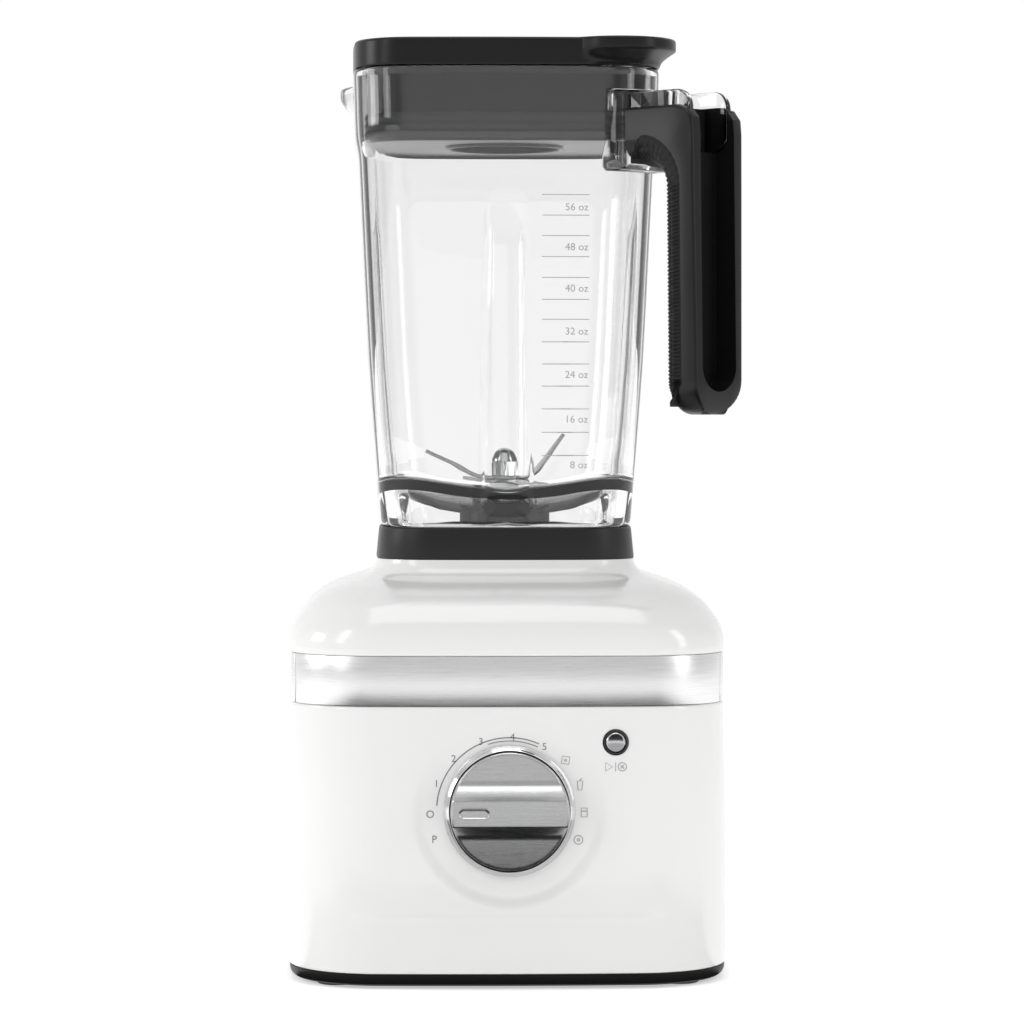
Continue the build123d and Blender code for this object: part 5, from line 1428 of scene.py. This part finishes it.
# ---------------------------------------------------------------- printed marks
def text_outline(name, words, size, align="CENTER"):
    """Flat lettering as a thin closed mesh, x to the right and y up, in metres."""
    curve = bpy.data.curves.new(name, "FONT")
    curve.body = words
    curve.size = size * MM
    curve.align_x = align
    curve.align_y = "CENTER"
    curve.extrude = 0.00004
    curve.resolution_u = 3
    source = bpy.data.objects.new(name + "_curve", curve)
    bpy.context.scene.collection.objects.link(source)
    bpy.context.view_layer.update()
    mesh = bpy.data.meshes.new_from_object(source.evaluated_get(bpy.context.evaluated_depsgraph_get()))
    bpy.data.objects.remove(source)
    piece = bpy.data.objects.new(name, mesh)
    bpy.context.scene.collection.objects.link(piece)
    return piece


def stroke(name, points, width, closed=False):
    """Thin closed line of print through (x, y) points, in metres once built."""
    points = np.array(points, float)
    total = len(points)
    left, right = [], []
    for i in range(total):
        before = points[(i - 1) % total] if closed or i > 0 else points[i]
        after = points[(i + 1) % total] if closed or i < total - 1 else points[i]
        along = after - before
        along /= max(np.linalg.norm(along), 1e-9)
        side = np.array([-along[1], along[0]]) * width / 2
        left.append(points[i] + side)
        right.append(points[i] - side)
    rings = []
    for i in range(total):
        rings.append(np.array([(left[i][0], left[i][1], 0.04), (right[i][0], right[i][1], 0.04),
                               (right[i][0], right[i][1], -0.04), (left[i][0], left[i][1], -0.04)]))
    return skin(name, rings, loop=closed, caps=not closed)


def merge(name, pieces):
    """One object out of several small prints."""
    built = bmesh.new()
    for piece in pieces:
        built.from_mesh(piece.data)
    mesh = bpy.data.meshes.new(name)
    built.to_mesh(mesh)
    built.free()
    for piece in pieces:
        bpy.data.objects.remove(piece)
    merged = bpy.data.objects.new(name, mesh)
    bpy.context.scene.collection.objects.link(merged)
    return merged


def moved(piece, x, y):
    """Shift a flat print within its own plane, in millimetres."""
    for vertex in piece.data.vertices:
        vertex.co.x += x * MM
        vertex.co.y += y * MM
    return piece


def lay_on(piece, surface):
    """Stand a flat print up on a front surface given by a function of (x, z) in millimetres."""
    for vertex in piece.data.vertices:
        x, z, lift = vertex.co.x / MM, vertex.co.y / MM, vertex.co.z / MM
        vertex.co = (x * MM, (surface(x, z) - 0.05 - lift) * MM, z * MM)
    return piece


def panel_surface(x, z):
    """Front of the base where the marks are printed."""
    inset = 1.5 * max(0.0, (z - 42.0) / (band_low - 42.0)) ** 1.5
    radius = ((base_half_x - inset - BASE_BOW) ** 2 + BASE_BOW ** 2) / (2 * BASE_BOW)
    wall = -(base_half_y - inset - radius + math.sqrt(radius ** 2 - x ** 2))
    press = float(smooth_step(np.array(math.hypot(x, z - dial_z)), DISH_EDGE + 0.6, DISH_FLAT - 0.2))
    return wall * (1 - press) + panel_y * press


def circle_points(cx, cy, radius, start=0.0, end=360.0, count=48):
    return [(cx + radius * math.cos(math.radians(a)), cy + radius * math.sin(math.radians(a)))
            for a in np.linspace(start, end, count)]


def make_dial_marks():
    """Speed numbers, programme symbols and the two ramp arcs round the dial."""
    pieces = []
    marks_reach = 33.4
    marks_left = 1.0
    for words, angle, size in (("P", -19, 4.6), ("O", 0, 4.6), ("1", 23.4, 4.4), ("2", 46, 4.4),
                               ("3", 70, 4.4),
                               ("4", 94, 4.4), ("5", 119, 4.4)):
        a = math.radians(180 - angle)
        mark = text_outline(f"dial_mark_{words}", words, size)
        x, z = marks_reach * math.cos(a) - marks_left, dial_z + marks_reach * math.sin(a)
        pieces.append(moved(mark, x, z - 0.36 * size))
    outer = circle_points(0, dial_z, 31.6, 176, 66, 60)
    inner = circle_points(0, dial_z, 30.2, 108, 66, 30)
    pieces.append(stroke("dial_arc_outer", outer, 0.5))
    pieces.append(stroke("dial_arc_inner", inner, 0.4))
    lay = merge("dial_numbers", pieces)
    place(lay_on(lay, panel_surface), "base", "grey_plastic", dial_ink)
    icons = []
    for angle, kind in ((139, "ice"), (161, "drink"), (181.5, "glass"), (202.4, "dot")):
        a = math.radians(180 - angle)
        x, z = marks_reach * math.cos(a) - marks_left, dial_z + marks_reach * math.sin(a)
        if kind == "ice":
            icons.append(stroke("ice_1", [(x - 1.7, z - 1.5), (x + 1.5, z - 1.9), (x + 1.9, z + 1.3),
                                          (x - 1.3, z + 1.7)], 0.42, closed=True))
            icons.append(stroke("ice_2", circle_points(x + 0.1, z - 0.1, 0.45, 0, 330, 10), 0.4, closed=True))
        elif kind == "drink":
            icons.append(stroke("drink_1", [(x - 1.2, z + 1.9), (x + 1.2, z + 1.9), (x + 0.8, z - 2.0),
                                            (x - 0.8, z - 2.0)], 0.42, closed=True))
            icons.append(stroke("drink_2", [(x - 0.2, z + 1.9), (x + 0.7, z + 3.1)], 0.4))
        elif kind == "glass":
            icons.append(stroke("glass_1", [(x - 1.3, z + 1.9), (x + 1.3, z + 1.9), (x + 1.3, z - 1.9),
                                            (x - 1.3, z - 1.9)], 0.42, closed=True))
            icons.append(stroke("glass_2", [(x - 1.2, z + 0.6), (x + 1.2, z + 0.6)], 0.4))
        else:
            icons.append(stroke("dot_1", circle_points(x, z, 1.9, 0, 350, 30), 0.42, closed=True))
            icons.append(stroke("dot_2", circle_points(x, z, 0.5, 0, 330, 10), 0.5, closed=True))
    x, z = button_x, button_z - 10.6
    icons.append(stroke("start_mark", [(x - 4.4, z - 1.8), (x - 4.4, z + 1.8), (x - 1.4, z)], 0.4,
                        closed=True))
    icons.append(stroke("divider", [(x - 0.1, z - 2.0), (x - 0.1, z + 2.0)], 0.3))
    icons.append(stroke("cancel_ring", circle_points(x + 2.8, z, 1.8, 0, 350, 30), 0.36, closed=True))
    icons.append(stroke("cancel_1", [(x + 2.0, z - 0.8), (x + 3.6, z + 0.8)], 0.36))
    icons.append(stroke("cancel_2", [(x + 2.0, z + 0.8), (x + 3.6, z - 0.8)], 0.36))
    lay = merge("dial_symbols", icons)
    place(lay_on(lay, panel_surface), "base", "grey_plastic", icon_ink)


def jar_surface(x, z):
    """Front face of the jar beside its flute."""
    half = float(jar_half(z))
    radius = ((half - JAR_BOW) ** 2 + JAR_BOW ** 2) / (2 * JAR_BOW)
    return -(half - radius + math.sqrt(radius ** 2 - x ** 2))


def make_jar_marks():
    """Measuring lines in ounces on the front of the jar."""
    pieces = []
    line_heights = [346.5, 337.4, 328.4, 319.1, 309.9, 300.2, 291.4, 281.4, 271.6, 261.8, 251.7, 241.3, 231.0]
    for index, z in enumerate(line_heights):
        pieces.append(stroke(f"jar_line_{index}", [(15.2, z), (36.2, z)], 0.36))
    number_heights = [342.5, 324.9, 306.6, 287.6, 268.4, 248.6, 228.3]
    for index, z in enumerate(number_heights):
        mark = text_outline(f"jar_number_{index}", f"{56 - 8 * index} oz", 4.6, "RIGHT")
        pieces.append(moved(mark, 35.8, z - 1.6))
    marks = merge("jar_scale", pieces)
    place(lay_on(marks, jar_surface), "jar", "grey_plastic", jar_ink)


make_lower_housing()
make_bands()
make_upper_housing()
make_foot_pan()
make_rubber_feet()
make_jar_pad()
make_dial_knob()
make_dial_bezel()
make_start_button()
make_jar_body()
make_handle_grip()
make_handle_ribs()
make_lid_shell()
make_lid_plug()
make_lid_gasket()
make_ingredient_cup()
make_blades()
make_blade_nut()
make_dial_marks()
make_jar_marks()


# ---------------------------------------------------------------- floor and light
def stage_plane(name, corners, material):
    """Flat piece of the studio."""
    mesh = bpy.data.meshes.new(name)
    mesh.from_pydata(corners, [], [(0, 1, 2, 3)])
    piece = bpy.data.objects.new(name, mesh)
    bpy.context.scene.collection.objects.link(piece)
    piece.data.materials.append(material)
    return piece


floor_white, _, floor_shader = new_material("floor_white", Roughness=0.8, Emission_Strength=0.48)
floor_shader.inputs["Base Color"].default_value = (0.93, 0.93, 0.93, 1)
floor_shader.inputs["Emission Color"].default_value = (1, 1, 1, 1)
stage_plane("floor", [(-6, -6, 0), (6, -6, 0), (6, 6, 0), (-6, 6, 0)], floor_white)


def soft_box(name, location, target, size, power, colour=(1, 1, 1)):
    """Rectangular soft light that points at a target."""
    light = bpy.data.lights.new(name, "AREA")
    light.shape = "RECTANGLE"
    light.size = size[0]
    light.size_y = size[1]
    light.energy = power
    light.color = colour
    lamp = bpy.data.objects.new(name, light)
    bpy.context.scene.collection.objects.link(lamp)
    lamp.location = location
    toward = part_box("jar_body")[0].__class__(target) - lamp.location
    lamp.rotation_euler = toward.to_track_quat("-Z", "Y").to_euler()
    return lamp


soft_box("key_left", (-1.5, -1.1, 1.0), (0, 0, 0.22), (0.35, 1.3), 5.0)
soft_box("side_left", (-1.6, -0.05, 0.62), (0, -0.05, 0.5), (0.5, 0.55), 4.5)
soft_box("key_right", (1.5, -0.8, 0.8), (0, 0, 0.22), (0.3, 1.3), 4.2)
soft_box("overhead", (0, -0.3, 1.7), (0, 0, 0.1), (1.0, 0.8), 5)

card_black, _, card_shader = new_material("card_black", Roughness=0.9)
card_shader.inputs["Base Color"].default_value = (0.01, 0.01, 0.01, 1)
card = stage_plane("dark_card", [(-0.34, -0.5, 0.002), (0.34, -0.5, 0.002), (0.34, -0.07, 0.002),
                                 (-0.34, -0.07, 0.002)],
                   card_black)
card.visible_camera = False
card.visible_diffuse = False
card.visible_transmission = False
card.visible_shadow = False


def studio_world():
    """White room with dark sides for glossy and clear things, and plain white for the backdrop."""
    world = bpy.data.worlds.new("studio")
    bpy.context.scene.world = world
    world.use_nodes = True
    tree = world.node_tree
    tree.nodes.clear()
    link = tree.links.new

    def node(kind, **settings):
        made = tree.nodes.new(kind)
        for key, value in settings.items():
            setattr(made, key, value)
        return made

    def backdrop(value):
        made = node("ShaderNodeBackground")
        made.inputs["Color"].default_value = (value, value, value, 1)
        return made

    def ramp(socket, start, end, first, last):
        made = node("ShaderNodeMapRange", interpolation_type="SMOOTHSTEP")
        for label, value in (("From Min", start), ("From Max", end), ("To Min", first), ("To Max", last)):
            made.inputs[label].default_value = value
        link(socket, made.inputs["Value"])
        return made.outputs[0]

    def times(first, second):
        made = node("ShaderNodeMath", operation="MULTIPLY")
        link(first, made.inputs[0])
        link(second, made.inputs[1])
        return made.outputs[0]

    direction = node("ShaderNodeTexCoord")
    split = node("ShaderNodeSeparateXYZ")
    link(direction.outputs["Generated"], split.inputs[0])
    sideways = node("ShaderNodeMath", operation="ABSOLUTE")
    link(split.outputs["X"], sideways.inputs[0])
    behind = ramp(split.outputs["Y"], -0.5, 0.5, 0.60, 1.0)
    sides = ramp(sideways.outputs[0], 0.62, 0.82, 1.0, 0.75)
    glossy_room = node("ShaderNodeBackground")
    link(times(behind, sides), glossy_room.inputs["Color"])
    clear_sides = ramp(sideways.outputs[0], 0.28, 0.60, 0.92, 0.05)
    clear_room = node("ShaderNodeBackground")
    link(clear_sides, clear_room.inputs["Color"])
    rays = node("ShaderNodeLightPath")
    surface = backdrop(0.55).outputs[0]
    for label, shader in (("Is Glossy Ray", glossy_room), ("Is Transmission Ray", clear_room),
                          ("Is Camera Ray", backdrop(1.0))):
        choose = node("ShaderNodeMixShader")
        link(rays.outputs[label], choose.inputs[0])
        link(surface, choose.inputs[1])
        link(shader.outputs[0], choose.inputs[2])
        surface = choose.outputs[0]
    end = node("ShaderNodeOutputWorld")
    link(surface, end.inputs["Surface"])


studio_world()
